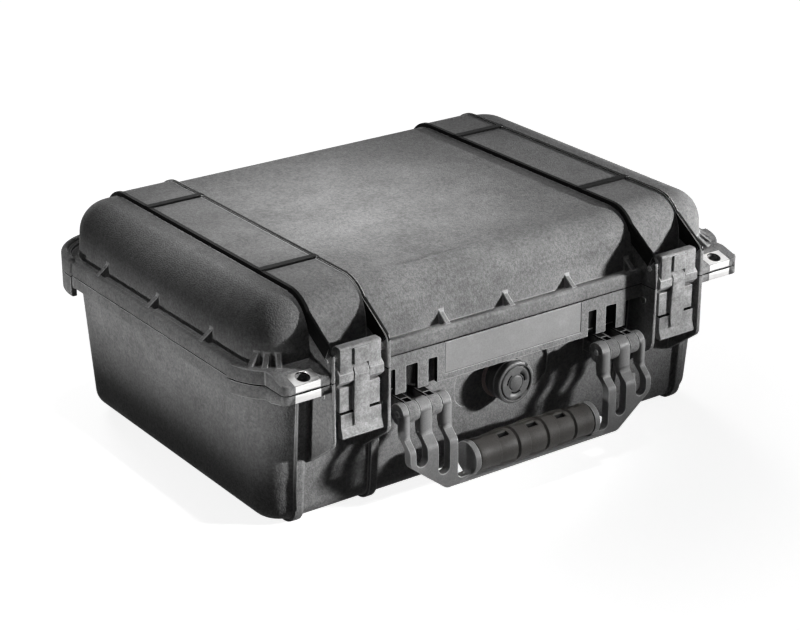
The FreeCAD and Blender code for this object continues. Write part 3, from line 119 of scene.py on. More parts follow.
FINE_TO_GRAIN_RATE = 2.3
PIT_DISTANCES = (0.45, 0.85)
PATCH_WEIGHT, SPECKLE_WEIGHT = 0.55, 0.45
TONE_RANGE, GLOSS_RANGE = (0.32, 0.68), (0.3, 0.7)
BROAD_RUB_RANGE, SCUFF_RANGE = (0.48, 0.75), (0.4, 0.7)
SCUFF_TURN, SCUFF_STRETCH, SCUFF_TO_RUB_RATE = (0.3, 0.5, 0.7), (1, 9, 1), 1.7


def pebble_grain():
    """Moulded pebble grain: rounded grains of one size, broken up by finer ones."""
    group, given, out = new_group(
        "pebble_grain", "ShaderNodeTree",
        [("Grain Size", FLOAT, 0.001), ("Fine Share", FLOAT, 0.4)],
        [("Height", FLOAT), ("Pits", FLOAT)])
    do = partial(maths, group)
    place = object_place(group)
    rate = do("DIVIDE", 1.0, given["Grain Size"])
    grains = add(group, "ShaderNodeTexVoronoi",
                 {"Vector": place, "Scale": rate, "Randomness": 1.0},
                 feature="F1").outputs["Distance"]
    fine = noise(group, place, do("MULTIPLY", rate, FINE_TO_GRAIN_RATE), detail=3.0)
    dome = do("SUBTRACT", 1.0, grains)
    height = do("ADD", do("MULTIPLY", fine, given["Fine Share"]), dome)
    group.links.new(height, out["Height"])
    group.links.new(spread(group, grains, *PIT_DISTANCES, smooth=True), out["Pits"])
    return group


def moulding_tone():
    """Slow drift of tone and gloss over a moulding, with fine speckle in it."""
    group, given, out = new_group(
        "moulding_tone", "ShaderNodeTree",
        [("Dark", COLOUR, (0.1, 0.1, 0.1, 1)), ("Light", COLOUR, (0.2, 0.2, 0.2, 1)),
         ("Patch Size", FLOAT, 0.06), ("Speckle Size", FLOAT, 0.002),
         ("Glossy", FLOAT, 0.45), ("Dull", FLOAT, 0.65)],
        [("Colour", COLOUR), ("Roughness", FLOAT)])
    do = partial(maths, group)
    place = object_place(group)
    patches = noise(group, place, do("DIVIDE", 1.0, given["Patch Size"]), detail=4.0, roughness=0.6)
    speckle = noise(group, place, do("DIVIDE", 1.0, given["Speckle Size"]), detail=2.0)
    both = do("ADD", do("MULTIPLY", patches, PATCH_WEIGHT), do("MULTIPLY", speckle, SPECKLE_WEIGHT))
    share = spread(group, both, *TONE_RANGE)
    group.links.new(blended(group, share, given["Dark"], given["Light"]), out["Colour"])
    gloss = spread(group, patches, *GLOSS_RANGE, given["Glossy"], given["Dull"])
    group.links.new(gloss, out["Roughness"])
    return group


def handling_rub():
    """Rub and fine scuffs from handling, as a mask."""
    group, given, out = new_group(
        "handling_rub", "ShaderNodeTree",
        [("Rub Size", FLOAT, 0.012), ("Amount", FLOAT, 0.4)],
        [("Mask", FLOAT)])
    do = partial(maths, group)
    place = object_place(group)
    rate = do("DIVIDE", 1.0, given["Rub Size"])
    broad = noise(group, place, rate, detail=5.0)
    turned = add(group, "ShaderNodeMapping",
                 {"Vector": place, "Rotation": SCUFF_TURN, "Scale": SCUFF_STRETCH}).outputs[0]
    lines = noise(group, turned, do("MULTIPLY", rate, SCUFF_TO_RUB_RATE), detail=3.0)
    worn = do("MULTIPLY", spread(group, broad, *BROAD_RUB_RANGE),
              spread(group, lines, *SCUFF_RANGE))
    group.links.new(do("MULTIPLY", worn, given["Amount"], clamp=True), out["Mask"])
    return group


def recess_shade():
    """Deep shade behind a front plane, between two heights and two distances from the middle."""
    group, given, out = new_group(
        "recess_shade", "ShaderNodeTree",
        [("Front", FLOAT, -0.152), ("Back", FLOAT, -0.146), ("Low", FLOAT, 0.088),
         ("High", FLOAT, 0.126), ("Inner", FLOAT, 0.074), ("Outer", FLOAT, 0.126),
         ("Soft", FLOAT, 0.004)],
        [("Mask", FLOAT)])
    do = partial(maths, group)
    place = add(group, "ShaderNodeSeparateXYZ", {0: object_place(group)}).outputs
    behind = spread(group, place["Y"], given["Front"], given["Back"])
    in_front_half = do("LESS_THAN", place["Y"], 0.0)
    aside = do("ABSOLUTE", place["X"])
    mask = do("MULTIPLY", behind, in_front_half)
    for value, low, high in ((aside, "Inner", "Outer"), (place["Z"], "Low", "High")):
        mask = do("MULTIPLY", mask, inside(group, value, given[low], given[high], given["Soft"]))
    group.links.new(mask, out["Mask"])
    return group


GRAIN = pebble_grain()
TONE = moulding_tone()
RUB = handling_rub()
RECESS = recess_shade()


# Finishes

def grey(level, warm=0.0):
    """A grey, a little warm or cool."""
    return (level * (1 + warm), level, level * (1 - warm), 1)


def greys(dark, light, warm=0.0):
    """The two greys that a finish drifts between."""
    return grey(dark, warm), grey(light, warm)


SPECKLE_TO_GRAIN, BUMP_TO_GRAIN = 2, 0.25
# Share of painted shade in the grain's hollows, and the gain of lighter rub
PIT_SHADE, RUB_GAIN = 0.5, 1.5
# Painted shade in the recess behind the apron
RECESS_SHADE_BLACK = grey(0.003)
BRUSH_RATE, METAL_RUB_SIZE, METAL_RUB = 900.0, 0.006, 0.5
WEAVE_RATE = 700.0
FINE_BUMP = 0.0001


def blank_finish(name):
    """A new material with its surface shader, ready to be fed."""
    finish = bpy.data.materials.new(name)
    finish.use_nodes = True
    shader = finish.node_tree.nodes["Principled BSDF"]
    return finish, finish.node_tree, shader


def shared(tree, group, **values):
    """One of the shared effects in a finish, with its inputs set."""
    made = add(tree, "ShaderNodeGroup", node_tree=group)
    for label, value in values.items():
        made.inputs[label.replace("_", " ")].default_value = value
    return made.outputs


def raised(tree, shader, strength, distance, height):
    """Fine relief on a finish."""
    bump = add(tree, "ShaderNodeBump",
               {"Strength": strength, "Distance": distance, "Height": height})
    tree.links.new(bump.outputs[0], shader.inputs["Normal"])


def moulded(name, tones, grain, relief, rough, rub=0.3, patch=0.06, specular=0.25, shaded=0.0):
    """A moulded finish: drifting tone, pebble grain in relief, painted shade in the grain's
    hollows, rub where it is handled, and, where shaded is given, painted shade in the recess behind
    the apron.
    """
    finish, tree, shader = blank_finish(name)
    dark, light = tones
    glossy, dull = rough
    tone = shared(tree, TONE, Dark=dark, Light=light, Patch_Size=patch,
                  Speckle_Size=grain * SPECKLE_TO_GRAIN, Glossy=glossy, Dull=dull)
    pebbles = shared(tree, GRAIN, Grain_Size=grain)
    worn = shared(tree, RUB, Amount=rub)
    # Painted shade in the hollows between the grains
    pits = maths(tree, "MULTIPLY", pebbles["Pits"], PIT_SHADE)
    pit_shaded = blended(tree, pits, tone["Colour"], dark)
    rubbed = tuple(min(1.0, value * RUB_GAIN) for value in light[:3]) + (1,)
    colour = blended(tree, worn["Mask"], pit_shaded, rubbed)
    # Painted shade: the recess behind the apron darkened towards black
    if shaded:
        deep = maths(tree, "MULTIPLY", shared(tree, RECESS)["Mask"], shaded)
        colour = blended(tree, deep, colour, RECESS_SHADE_BLACK)
    tree.links.new(colour, shader.inputs["Base Color"])
    tree.links.new(tone["Roughness"], shader.inputs["Roughness"])
    raised(tree, shader, relief, grain * BUMP_TO_GRAIN, pebbles["Height"])
    shader.inputs["Specular IOR Level"].default_value = specular
    return finish


def brushed_metal(name, tones, rough, along):
    """Brushed or turned steel, with fine lines across the given direction."""
    finish, tree, shader = blank_finish(name)
    dark, light = tones
    drawn = add(tree, "ShaderNodeMapping", {"Vector": object_place(tree), "Scale": along})
    lines = noise(tree, drawn.outputs[0], BRUSH_RATE, detail=4.0)
    worn = shared(tree, RUB, Rub_Size=METAL_RUB_SIZE, Amount=METAL_RUB)
    base = blended(tree, lines, dark, light)
    tree.links.new(blended(tree, worn["Mask"], base, dark), shader.inputs["Base Color"])
    tree.links.new(spread(tree, lines, *GLOSS_RANGE, *rough), shader.inputs["Roughness"])
    raised(tree, shader, 0.15, FINE_BUMP, lines)
    shader.inputs["Metallic"].default_value = 1.0
    return finish


def woven_mesh(name, tones):
    """The fine white mesh of the vent membrane."""
    finish, tree, shader = blank_finish(name)
    hole, thread = tones
    place = object_place(tree)
    across, up = (
        add(tree, "ShaderNodeTexWave", {"Vector": place, "Scale": WEAVE_RATE},
            bands_direction=direction).outputs["Fac"] for direction in "XZ")
    weave = maths(tree, "MULTIPLY", across, up)
    tree.links.new(blended(tree, weave, hole, thread), shader.inputs["Base Color"])
    tree.links.new(spread(tree, weave, 0.0, 1.0, 0.9, 0.6), shader.inputs["Roughness"])
    raised(tree, shader, 0.4, FINE_BUMP, weave)
    return finish


CASE = moulded(
    "case_plastic", greys(0.09, 0.23), grain=0.0013, relief=0.8, rough=(0.72, 0.88),
    specular=0.1, shaded=0.95)
# Lighter rub on the case's rounded edges, with a painted highlight
CASE_EDGE_RUB_AND_HIGHLIGHT = moulded(
    "case_plastic_edge_rub_and_highlight", greys(0.22, 0.36), grain=0.0012, relief=0.25, rough=(0.55, 0.7),
    rub=0.5, specular=0.15)
# Painted shadow on the lid's ribs and parting line, and the black of the cross bars
RIB_SHADOW_BLACK = moulded(
    "rib_shadow_black", greys(0.004, 0.012), grain=0.001, relief=0.3, rough=(0.5, 0.7),
    rub=0.1, specular=0.03)
# Painted highlight on the rounded edges of the lid's ribs
RIB_PAINTED_HIGHLIGHT = moulded(
    "rib_edge_painted_highlight", greys(0.34, 0.5), grain=0.0008, relief=0.15, rough=(0.5, 0.65),
    rub=0.4, specular=0.15)
NAMEPLATE = moulded(
    "nameplate_plastic", greys(0.16, 0.225), grain=0.0006, relief=0.2, rough=(0.55, 0.7),
    rub=0.25, specular=0.15)
LATCH = moulded(
    "latch_plastic", greys(0.13, 0.33), grain=0.0012, relief=0.35, rough=(0.5, 0.68),
    rub=0.45, patch=0.012, specular=0.12)
# Lighter rub on the latches' rounded edges, with a painted highlight
LATCH_EDGE_RUB_AND_HIGHLIGHT = moulded(
    "latch_plastic_edge_rub_and_highlight", greys(0.22, 0.38), grain=0.0009, relief=0.2, rough=(0.28, 0.42),
    rub=0.6, specular=0.15)
HANDLE = moulded(
    "handle_plastic", greys(0.12, 0.19), grain=0.0007, relief=0.25, rough=(0.36, 0.5),
    specular=0.12)
# Lighter rub on the handle's rounded edges, with a painted highlight
HANDLE_EDGE_RUB_AND_HIGHLIGHT = moulded(
    "handle_plastic_edge_rub_and_highlight", greys(0.26, 0.38), grain=0.0008, relief=0.2, rough=(0.3, 0.42),
    rub=0.6, specular=0.15)
RUBBER = moulded(
    "grip_rubber", greys(0.03, 0.055, warm=0.06), grain=0.0008, relief=0.35, rough=(0.42, 0.6),
    rub=0.15, specular=0.15)
SEAL = moulded(
    "seal_rubber", greys(0.03, 0.05), grain=0.0007, relief=0.3, rough=(0.6, 0.75), rub=0.1)
GASKET = moulded(
    "gasket_rubber", ((0.30, 0.24, 0.24, 1), (0.50, 0.41, 0.40, 1)), grain=0.0008, relief=0.3,
    rough=(0.5, 0.65), rub=0.2)
VALVE = moulded(
    "valve_plastic", greys(0.06, 0.11), grain=0.0007, relief=0.25, rough=(0.32, 0.45), rub=0.25)
# Lighter rub on the valve's rounded edges, with a painted highlight
VALVE_EDGE_RUB_AND_HIGHLIGHT = moulded(
    "valve_plastic_edge_rub_and_highlight", greys(0.13, 0.22), grain=0.0007, relief=0.2, rough=(0.25, 0.36),
    rub=0.4)
# Painted shade in deep slots, slits and holes, and the shadow line under the nameplate
SLOT_PAINTED_SHADE = moulded(
    "slot_painted_shade", greys(0.004, 0.01), grain=0.001, relief=0.2, rough=(0.5, 0.7),
    rub=0.05, specular=0.03)
PLATE = brushed_metal("plate_steel", greys(0.62, 0.9, warm=0.01), (0.3, 0.48), (0.08, 1, 1))
# Painted shade: a dark outline on the padlock plates' rounded edges
PLATE_EDGE_SHADE = brushed_metal("plate_edge_shade_steel", greys(0.08, 0.2), (0.35, 0.5), (0.08, 1, 1))
PIN = brushed_metal("pin_steel", greys(0.45, 0.72), (0.22, 0.4), (0.06, 1, 1))
MEMBRANE = woven_mesh("membrane_fabric", greys(0.25, 0.78))


# Pieces

def piece(name, mesh, body, slot, *nodes):
    """A finished piece, riding on its body and standing for its CAD nodes."""
    made = bpy.data.objects.new(name, mesh)
    bpy.context.scene.collection.objects.link(made)
    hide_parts(*nodes)
    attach(made, body)
    return made


def evaluated_mesh(source):
    """A new mesh of an object as its modifiers leave it."""
    bpy.context.view_layer.update()
    graph = bpy.context.evaluated_depsgraph_get()
    return bpy.data.meshes.new_from_object(source.evaluated_get(graph), depsgraph=graph)


def plain_mesh(name, source):
    """The evaluated mesh of an object, whose own mesh and object are then removed."""
    mesh = evaluated_mesh(source)
    mesh.name = name
    worn_out = source.data
    bpy.data.objects.remove(source)
    bpy.data.meshes.remove(worn_out)
    return mesh


def work_object(name, mesh):
    """An object to hang modifiers on until its result is taken."""
    made = bpy.data.objects.new(name, mesh)
    bpy.context.scene.collection.objects.link(made)
    return made


# The materials of a softened piece, in the order of their slots: the roundings' edge finish, then a
# dark finish that is painted shade except on the lid's black cross bars, then a painted highlight
EDGE, DARK, LIGHT = 1, 2, 3
WELD = 2e-6
FLAT, SHARP = math.radians(0.4), math.radians(28)
SLIVER, FOLDED = 1e-9, -0.3
# Shares of the rounding's width: how far is thrown out, and how far round a sore spot it is eased
THROWN, EASED_ROUND = 1.3, 1.6
EASINGS = (0.6, 0.6, 0.5, 0.5, 0.0, 0.0)
BEVEL_WEIGHT = "bevel_weight_edge"


def tidy_copy(node):
    """A CAD node's shape as one closed mesh, with flat faces cut into well-shaped triangles."""
    form = bmesh.new()
    form.from_mesh(NODES[node].data)
    bmesh.ops.remove_doubles(form, verts=form.verts, dist=WELD)
    bmesh.ops.dissolve_limit(form, angle_limit=FLAT, verts=form.verts, edges=form.edges)
    many_sided = [face for face in form.faces if len(face.verts) > 4]
    bmesh.ops.triangulate(form, faces=many_sided, ngon_method="BEAUTY")
    for face in form.faces:
        face.smooth = True
        face.material_index = 0
    return form


def sore_spots(result, skin, reach):
    """Places where rounding has thrown a point out or folded a face over."""
    result.calc_loop_triangles()
    thrown = [skin.find_nearest(corner.co)[3] > THROWN * reach(corner.co, corner.co)
              for corner in result.vertices]
    spots = []
    for edge in result.edges:
        first, second = edge.vertices
        if thrown[first] != thrown[second]:
            spots.append(result.vertices[second if thrown[first] else first].co.copy())
    for triangle in result.loop_triangles:
        if triangle.area < SLIVER:
            continue
        if triangle.normal.dot(skin.find_nearest(triangle.center)[1]) < FOLDED:
            spots += [result.vertices[corner].co.copy() for corner in triangle.vertices]
    return spots


def corner_finder(mesh):
    """A search tree of a mesh's corners."""
    corners = KDTree(len(mesh.vertices))
    for corner in mesh.vertices:
        corners.insert(corner.co, corner.index)
    corners.balance()
    return corners


def rounding(work, width):
    """The modifier that rounds the edges by their weights."""
    bevel = work.modifiers.new("rounded edges", "BEVEL")
    bevel.width = width
    bevel.segments = 2
    bevel.limit_method = "WEIGHT"
    bevel.use_clamp_overlap = False
    bevel.loop_slide = False
    bevel.material = EDGE


def softened(node, body, slot, finish, edge, width, paint=None, extra=(), fuller=None):
    """A CAD node's shape with its edges rounded, less so in tight places; the roundings take the
    edge finish, on most pieces lighter rub with a painted highlight, on the padlock plates painted
    shade.

    fuller gives a wider rounding in mm, and a test of an edge's two ends for it. paint gives
    a face its material, from its middle in mm, its normal and whether it lies on a rounding.
    """
    form = tidy_copy(node)
    skin = BVHTree.FromBMesh(form)
    widest, is_fuller = fuller or (width, lambda first, second: False)

    def reach(first, second):
        return (widest if is_fuller(first / MM, second / MM) else width) * MM

    weights = []
    for line in form.edges:
        own = reach(line.verts[0].co, line.verts[1].co) / (widest * MM)
        weights.append(own if line.calc_face_angle(0) > SHARP else 0.0)
    mesh = bpy.data.meshes.new(node + "_work")
    form.to_mesh(mesh)
    form.free()
    corners = corner_finder(mesh)
    mesh.materials.clear()
    for material in (finish, edge, *extra):
        mesh.materials.append(material)
    mesh.attributes.new(BEVEL_WEIGHT, "FLOAT", "EDGE")
    work = work_object(node + "_work", mesh)
    rounding(work, widest * MM)
    for ease in EASINGS:
        mesh.attributes[BEVEL_WEIGHT].data.foreach_set("value", weights)
        mesh.update()
        trial = evaluated_mesh(work)
        spots = sore_spots(trial, skin, reach)
        bpy.data.meshes.remove(trial)
        if not spots:
            break
        hurt = {index for spot in spots
                for _, index, _ in corners.find_range(spot, EASED_ROUND * reach(spot, spot))}
        for line in mesh.edges:
            if line.vertices[0] in hurt or line.vertices[1] in hurt:
                weights[line.index] *= ease
    weighted = work.modifiers.new("even shading", "WEIGHTED_NORMAL")
    weighted.keep_sharp = True
    result = plain_mesh(node + "_soft", work)
    if paint:
        for face in result.polygons:
            chosen = paint(face.center / MM, face.normal, face.material_index == EDGE)
            if chosen is not None:
                face.material_index = chosen
    return piece(node + "_soft", result, body, slot, node)


# Places on the case, in mm
BAND_MIDDLE, BAND_HALF = 155.6, 22.0
BAR_Y, BAR_HALF, BAR_FOOT = (95.75, -72.25), 4.2, 184.0
# Ribs with painted shade on their tops and flanks, and ribs with painted shade and a painted
# highlight on their rounded edges
SHADED_RIBS = ((-182.3, -178.1), (128.9, 133.1))
HIGHLIT_RIBS = ((-133.1, -128.9), (178.1, 182.3))
SHOULDER_Z, LID_TOP, TOP_HALF_DEPTH = 150.0, 183.3, 90.0
PARTING_Z, PARTING_HALF = 128.3, 0.65
APRON_SLOT_X, APRON_SLOT_Y, APRON_SLOT_Z = (74.0, 121.0), (-152.9, -140.0), (92.0, 122.5)
KNUCKLE_SLOTS, KNUCKLE_SLOT_Y = ((85.4, 91.0), (106.2, 111.8)), (-163.8, -157.3)
KNUCKLE_SLOT_Z = (90.2, 93.2)
LEVER_SLIT_Z = (100.8, 102.4)
HOLE_X, HOLE_Y, HOLE_REACH = 201.5, -160.5, 6.9
GUSSET_Z, GUSSET_FOOT, GUSSET_ROUNDING = (141.2, 151.6), 139.8, 1.6
LATCH_BAND_X, LATCH_BAND_Y = (126.0, 185.0), 100.0


def within(value, span):
    """Whether a number lies in a span."""
    return span[0] < value < span[1]


def in_any(value, spans):
    """Whether a number lies in one of the spans."""
    return any(within(value, span) for span in spans)


def paint_lid(place, normal, rounded):
    """Painted shadow on the parting line and on the shaded ribs, and the cross bars black; the
    highlit ribs painted shade, with a painted highlight on their rounded edges.
    """
    x, y, z = place
    if abs(z - PARTING_Z) < PARTING_HALF:
        return DARK
    on_bar = any(abs(y - bar) < BAR_HALF for bar in BAR_Y)
    if z > BAR_FOOT and on_bar and abs(abs(x) - BAND_MIDDLE) < BAND_HALF:
        return DARK
    level_below_top = abs(normal.z) > 0.6 and z < LID_TOP and abs(y) < TOP_HALF_DEPTH
    if z < SHOULDER_Z or level_below_top:
        return None
    if in_any(x, SHADED_RIBS):
        return DARK
    if in_any(x, HIGHLIT_RIBS):
        return LIGHT if rounded else DARK
    return None


def paint_base(place, normal, rounded):
    """Painted shade on the parting line, the walls of the apron's slots and the slots in the
    knuckles.
    """
    x, y, z = place
    if abs(z - PARTING_Z) < PARTING_HALF:
        return DARK
    in_apron_slot = (within(abs(x), APRON_SLOT_X) and within(y, APRON_SLOT_Y)
                     and within(z, APRON_SLOT_Z))
    if in_apron_slot and abs(normal.y) < 0.5:
        return DARK
    if in_any(abs(x), KNUCKLE_SLOTS) and within(y, KNUCKLE_SLOT_Y) and within(z, KNUCKLE_SLOT_Z):
        return DARK
    return None


def paint_nameplate(place, normal, rounded):
    """The shadow line under and to the right of the nameplate."""
    return DARK if rounded and (normal.z < -0.25 or normal.x > 0.25) else None


def paint_lever(place, normal, rounded):
    """Painted shade in the slit over the tab."""
    return DARK if within(place.z, LEVER_SLIT_Z) else None


def paint_plate(place, normal, rounded):
    """Painted shade on the wall of the padlock hole."""
    from_axis = math.hypot(abs(place.x) - HOLE_X, place.y - HOLE_Y)
    return DARK if from_axis < HOLE_REACH and abs(normal.z) < 0.6 else None


def on_gusset(first, second):
    """Whether an edge runs on one of the small gussets round the lid's rim."""
    x, y, z = (first + second) / 2
    near_band = within(abs(x), LATCH_BAND_X) and abs(y) > LATCH_BAND_Y
    return within(z, GUSSET_Z) and min(first.z, second.z) > GUSSET_FOOT and not near_band


softened("base_shell", "base", "case_plastic", CASE, CASE_EDGE_RUB_AND_HIGHLIGHT, 0.7, paint_base, (SLOT_PAINTED_SHADE,))
softened("lid_shell", "lid", "case_plastic", CASE, CASE_EDGE_RUB_AND_HIGHLIGHT, 0.7, paint_lid,
         (RIB_SHADOW_BLACK, RIB_PAINTED_HIGHLIGHT), (GUSSET_ROUNDING, on_gusset))
softened("nameplate", "base", "nameplate_plastic", NAMEPLATE, CASE_EDGE_RUB_AND_HIGHLIGHT, 0.35, paint_nameplate,
         (SLOT_PAINTED_SHADE,))
softened("handle_frame", "handle", "handle_plastic", HANDLE, HANDLE_EDGE_RUB_AND_HIGHLIGHT, 0.6)
softened("valve_gasket", "base", "gasket_rubber", GASKET, GASKET, 0.3)
softened("valve_body", "base", "valve_plastic", VALVE, VALVE_EDGE_RUB_AND_HIGHLIGHT, 0.3)
softened("valve_nut", "base", "valve_plastic", VALVE, VALVE_EDGE_RUB_AND_HIGHLIGHT, 0.4)
for side in SIDES:
    link, lever = f"{side}_latch_link", f"{side}_latch_lever"
    softened(link, link, "latch_plastic", LATCH, LATCH_EDGE_RUB_AND_HIGHLIGHT, 0.45)
    softened(lever, lever, "latch_plastic", LATCH, LATCH_EDGE_RUB_AND_HIGHLIGHT, 0.45, paint_lever, (SLOT_PAINTED_SHADE,))
    for half in ("base", "lid"):
        softened(f"{side}_{half}_padlock_plate", half, "plate_steel", PLATE, PLATE_EDGE_SHADE, 0.3,
                 paint_plate, (SLOT_PAINTED_SHADE,))
    for pin, body in (("catch_pin", "base"), ("handle_pin", "base"), ("hinge_pin", "base"),
                      ("latch_lid_pin", "lid"), ("latch_lever_pin", link)):
        softened(f"{side}_{pin}", body, "pin_steel", PIN, PIN, 0.25)
for node, finish in (("lid_seal", SEAL), ("valve_membrane", MEMBRANE)):
    NODES[node].data.materials.clear()
    NODES[node].data.materials.append(finish)


# Slots, on the grip and the knob

SLOT_MARK, LEAST_SLOT = "slot_share", 0.25


def tree_inputs(work, group, values):
    """Hangs a tree on an object and sets its inputs by their sockets."""
    modifier = work.modifiers.new(group.name, "NODES")
    modifier.node_group = group
    for item in group.interface.items_tree:
        if item.in_out == "INPUT" and item.name in values:
            modifier[item.identifier] = values[item.name]


def marked_slots(group, geometry, share):
    """Notes on each face how far it belongs to a slot."""
    return add(group, "GeometryNodeStoreNamedAttribute",
               {"Geometry": geometry, "Name": SLOT_MARK, "Value": share},
               data_type="FLOAT", domain="FACE").outputs[0]


def finished_slots(group, geometry, finish):
    """Gives the faces that were marked as slots their own finish, the painted shade of a deep slot.
    """
    share = add(group, "GeometryNodeInputNamedAttribute", {"Name": SLOT_MARK},
                data_type="FLOAT").outputs[0]
    chosen = maths(group, "GREATER_THAN", share, LEAST_SLOT)
    return add(group, "GeometryNodeSetMaterial",
               {"Geometry": geometry, "Selection": chosen, "Material": finish}).outputs[0]


# Grip sleeve, with sizes in metres and arcs in degrees up from the front

GRIP_SIZES = {
    "Half Length": 0.057, "Radius": 0.0146, "End Radius": 0.013, "Valley": 0.0006,
    "Pitch": 0.0285, "Window Width": 0.0165, "Window Depth": 0.0011, "Ring Width": 0.0011,
    "Ring Depth": 0.0014, "Slot Width": 0.0085, "Slot Depth": 0.0028, "Edge": 0.0018,
    "Axis Y": -0.17385, "Axis Z": 0.0362}
GRIP_ROWS, GRIP_COLUMNS = 330, 121
WINDOW_ARC, WINDOW_ARC_SOFT, WINDOW_SOFT = (-38, 118), 3, 0.0005
RING_ARC, RING_ARC_SOFT, RING_SOFT = (-30, 125), 4, 0.0004
SLOT_ARC, SLOT_ARC_SOFT, SLOT_SOFT, SLOT_SHIFT = (66, 82), 3, 0.0006, 0.001
ON_END = 1e-6


def grip_tree():
    """The rubber sleeve: a waved barrel with three windows, each with a ring groove and a slot."""
    group, given, out = new_group(
        "grip_sleeve", "GeometryNodeTree",
        [("Geometry", GEOMETRY, None)]
        + [(name, FLOAT, value) for name, value in GRIP_SIZES.items()]
        + [("Finish", MATERIAL, None), ("Slot Finish", MATERIAL, None)],
        [("Geometry", GEOMETRY)])
    do = partial(maths, group)
    sheet = add(group, "GeometryNodeMeshGrid",
                {"Size X": 1.0, "Size Y": 1.0, "Vertices X": GRIP_ROWS,
                 "Vertices Y": GRIP_COLUMNS}).outputs["Mesh"]
    flat = add(group, "ShaderNodeSeparateXYZ",
               {0: add(group, "GeometryNodeInputPosition").outputs[0]}).outputs
    along = do("MULTIPLY", flat["X"], do("MULTIPLY", given["Half Length"], 2.0))
    angle = do("MULTIPLY", flat["Y"], 2 * math.pi)

    # Waves, and the place along the nearest of the three windows
    turns = do("DIVIDE", along, given["Pitch"])
    whole = do("MINIMUM", do("MAXIMUM", do("ROUND", turns), -1.0), 1.0)
    offset = do("SUBTRACT", along, do("MULTIPLY", whole, given["Pitch"]))
    wave = do("COSINE", do("MULTIPLY", turns, 2 * math.pi))
    dip = do("MULTIPLY", spread(group, wave, 1.0, -1.0, smooth=True), given["Valley"])

    # What is cut from the barrel
    def on_arc(arc, soft):
        return inside(group, angle, *map(math.radians, (*arc, soft)))

    def about(value, half, soft):
        return inside(group, value, do("MULTIPLY", half, -1.0), half, soft)

    half = do("MULTIPLY", given["Window Width"], 0.5)
    ring_end = do("ADD", half, given["Ring Width"])
    slot_half = do("MULTIPLY", given["Slot Width"], 0.5)
    window = do("MULTIPLY", about(offset, half, WINDOW_SOFT), on_arc(WINDOW_ARC, WINDOW_ARC_SOFT))
    ring = do("MULTIPLY", inside(group, offset, half, ring_end, RING_SOFT),
              on_arc(RING_ARC, RING_ARC_SOFT))
    slot = do("MULTIPLY", about(do("ADD", offset, SLOT_SHIFT), slot_half, SLOT_SOFT),
              on_arc(SLOT_ARC, SLOT_ARC_SOFT))
    grooves = do("ADD", do("MULTIPLY", ring, given["Ring Depth"]),
                 do("MULTIPLY", slot, given["Slot Depth"]))
    cut = do("ADD", do("MULTIPLY", window, given["Window Depth"]), grooves)

    # Rounded ends
    from_end = do("SUBTRACT", given["Half Length"], do("ABSOLUTE", along))
    short = do("MAXIMUM", do("SUBTRACT", given["Edge"], from_end), 0.0)
    bow_squared = do("SUBTRACT", do("MULTIPLY", given["Edge"], given["Edge"]),
                     do("MULTIPLY", short, short))
    bow = do("SQRT", do("MAXIMUM", bow_squared, 0.0))
    drop = do("SUBTRACT", given["Edge"], bow)
    round_off = do("MULTIPLY", drop, do("GREATER_THAN", short, 0.0))

    # The radius, which is nothing on the two ends so that they close
    end_share = do("POWER", do("DIVIDE", along, given["Half Length"]), 2.0)
    taper = do("MULTIPLY", do("SUBTRACT", given["Radius"], given["End Radius"]), end_share)
    barrel = do("SUBTRACT", do("SUBTRACT", given["Radius"], taper), dip)
    body = do("SUBTRACT", barrel, do("ADD", cut, round_off))
    radius = do("MULTIPLY", body, do("GREATER_THAN", from_end, ON_END))
    y = do("SUBTRACT", given["Axis Y"], do("MULTIPLY", radius, do("COSINE", angle)))
    z = do("ADD", given["Axis Z"], do("MULTIPLY", radius, do("SINE", angle)))

    marked = marked_slots(group, sheet, slot)
    place = add(group, "ShaderNodeCombineXYZ", {0: along, 1: y, 2: z}).outputs[0]
    bent = add(group, "GeometryNodeSetPosition", {"Geometry": marked, "Position": place})
    closed = add(group, "GeometryNodeMergeByDistance",
                 {"Geometry": bent.outputs[0], "Distance": WELD})
    smooth = add(group, "GeometryNodeSetShadeSmooth", {"Geometry": closed.outputs[0]})
    real = add(group, "GeometryNodeRealizeInstances", {"Geometry": smooth.outputs[0]})
    plain = add(group, "GeometryNodeSetMaterial",
                {"Geometry": real.outputs[0], "Material": given["Finish"]})
    done = finished_slots(group, plain.outputs[0], given["Slot Finish"])
    group.links.new(done, out["Geometry"])
    return group


def outward(mesh):
    """Turns every face of a closed mesh outwards."""
    form = bmesh.new()
    form.from_mesh(mesh)
    bmesh.ops.recalc_face_normals(form, faces=form.faces)
    form.to_mesh(mesh)
    form.free()
    return mesh


grip_work = work_object("grip_work", bpy.data.meshes.new("grip_work"))
# The grip's slots take painted shade
tree_inputs(grip_work, grip_tree(), {"Finish": RUBBER, "Slot Finish": SLOT_PAINTED_SHADE})
piece("grip_sleeve", outward(plain_mesh("grip_sleeve", grip_work)),
      "handle", "grip_rubber", "handle_grip")


# Valve knob, with sizes in mm and arcs in degrees

KNOB_FRONT, KNOB_Z, KNOB_STEPS = -156.5, 76.0, 120
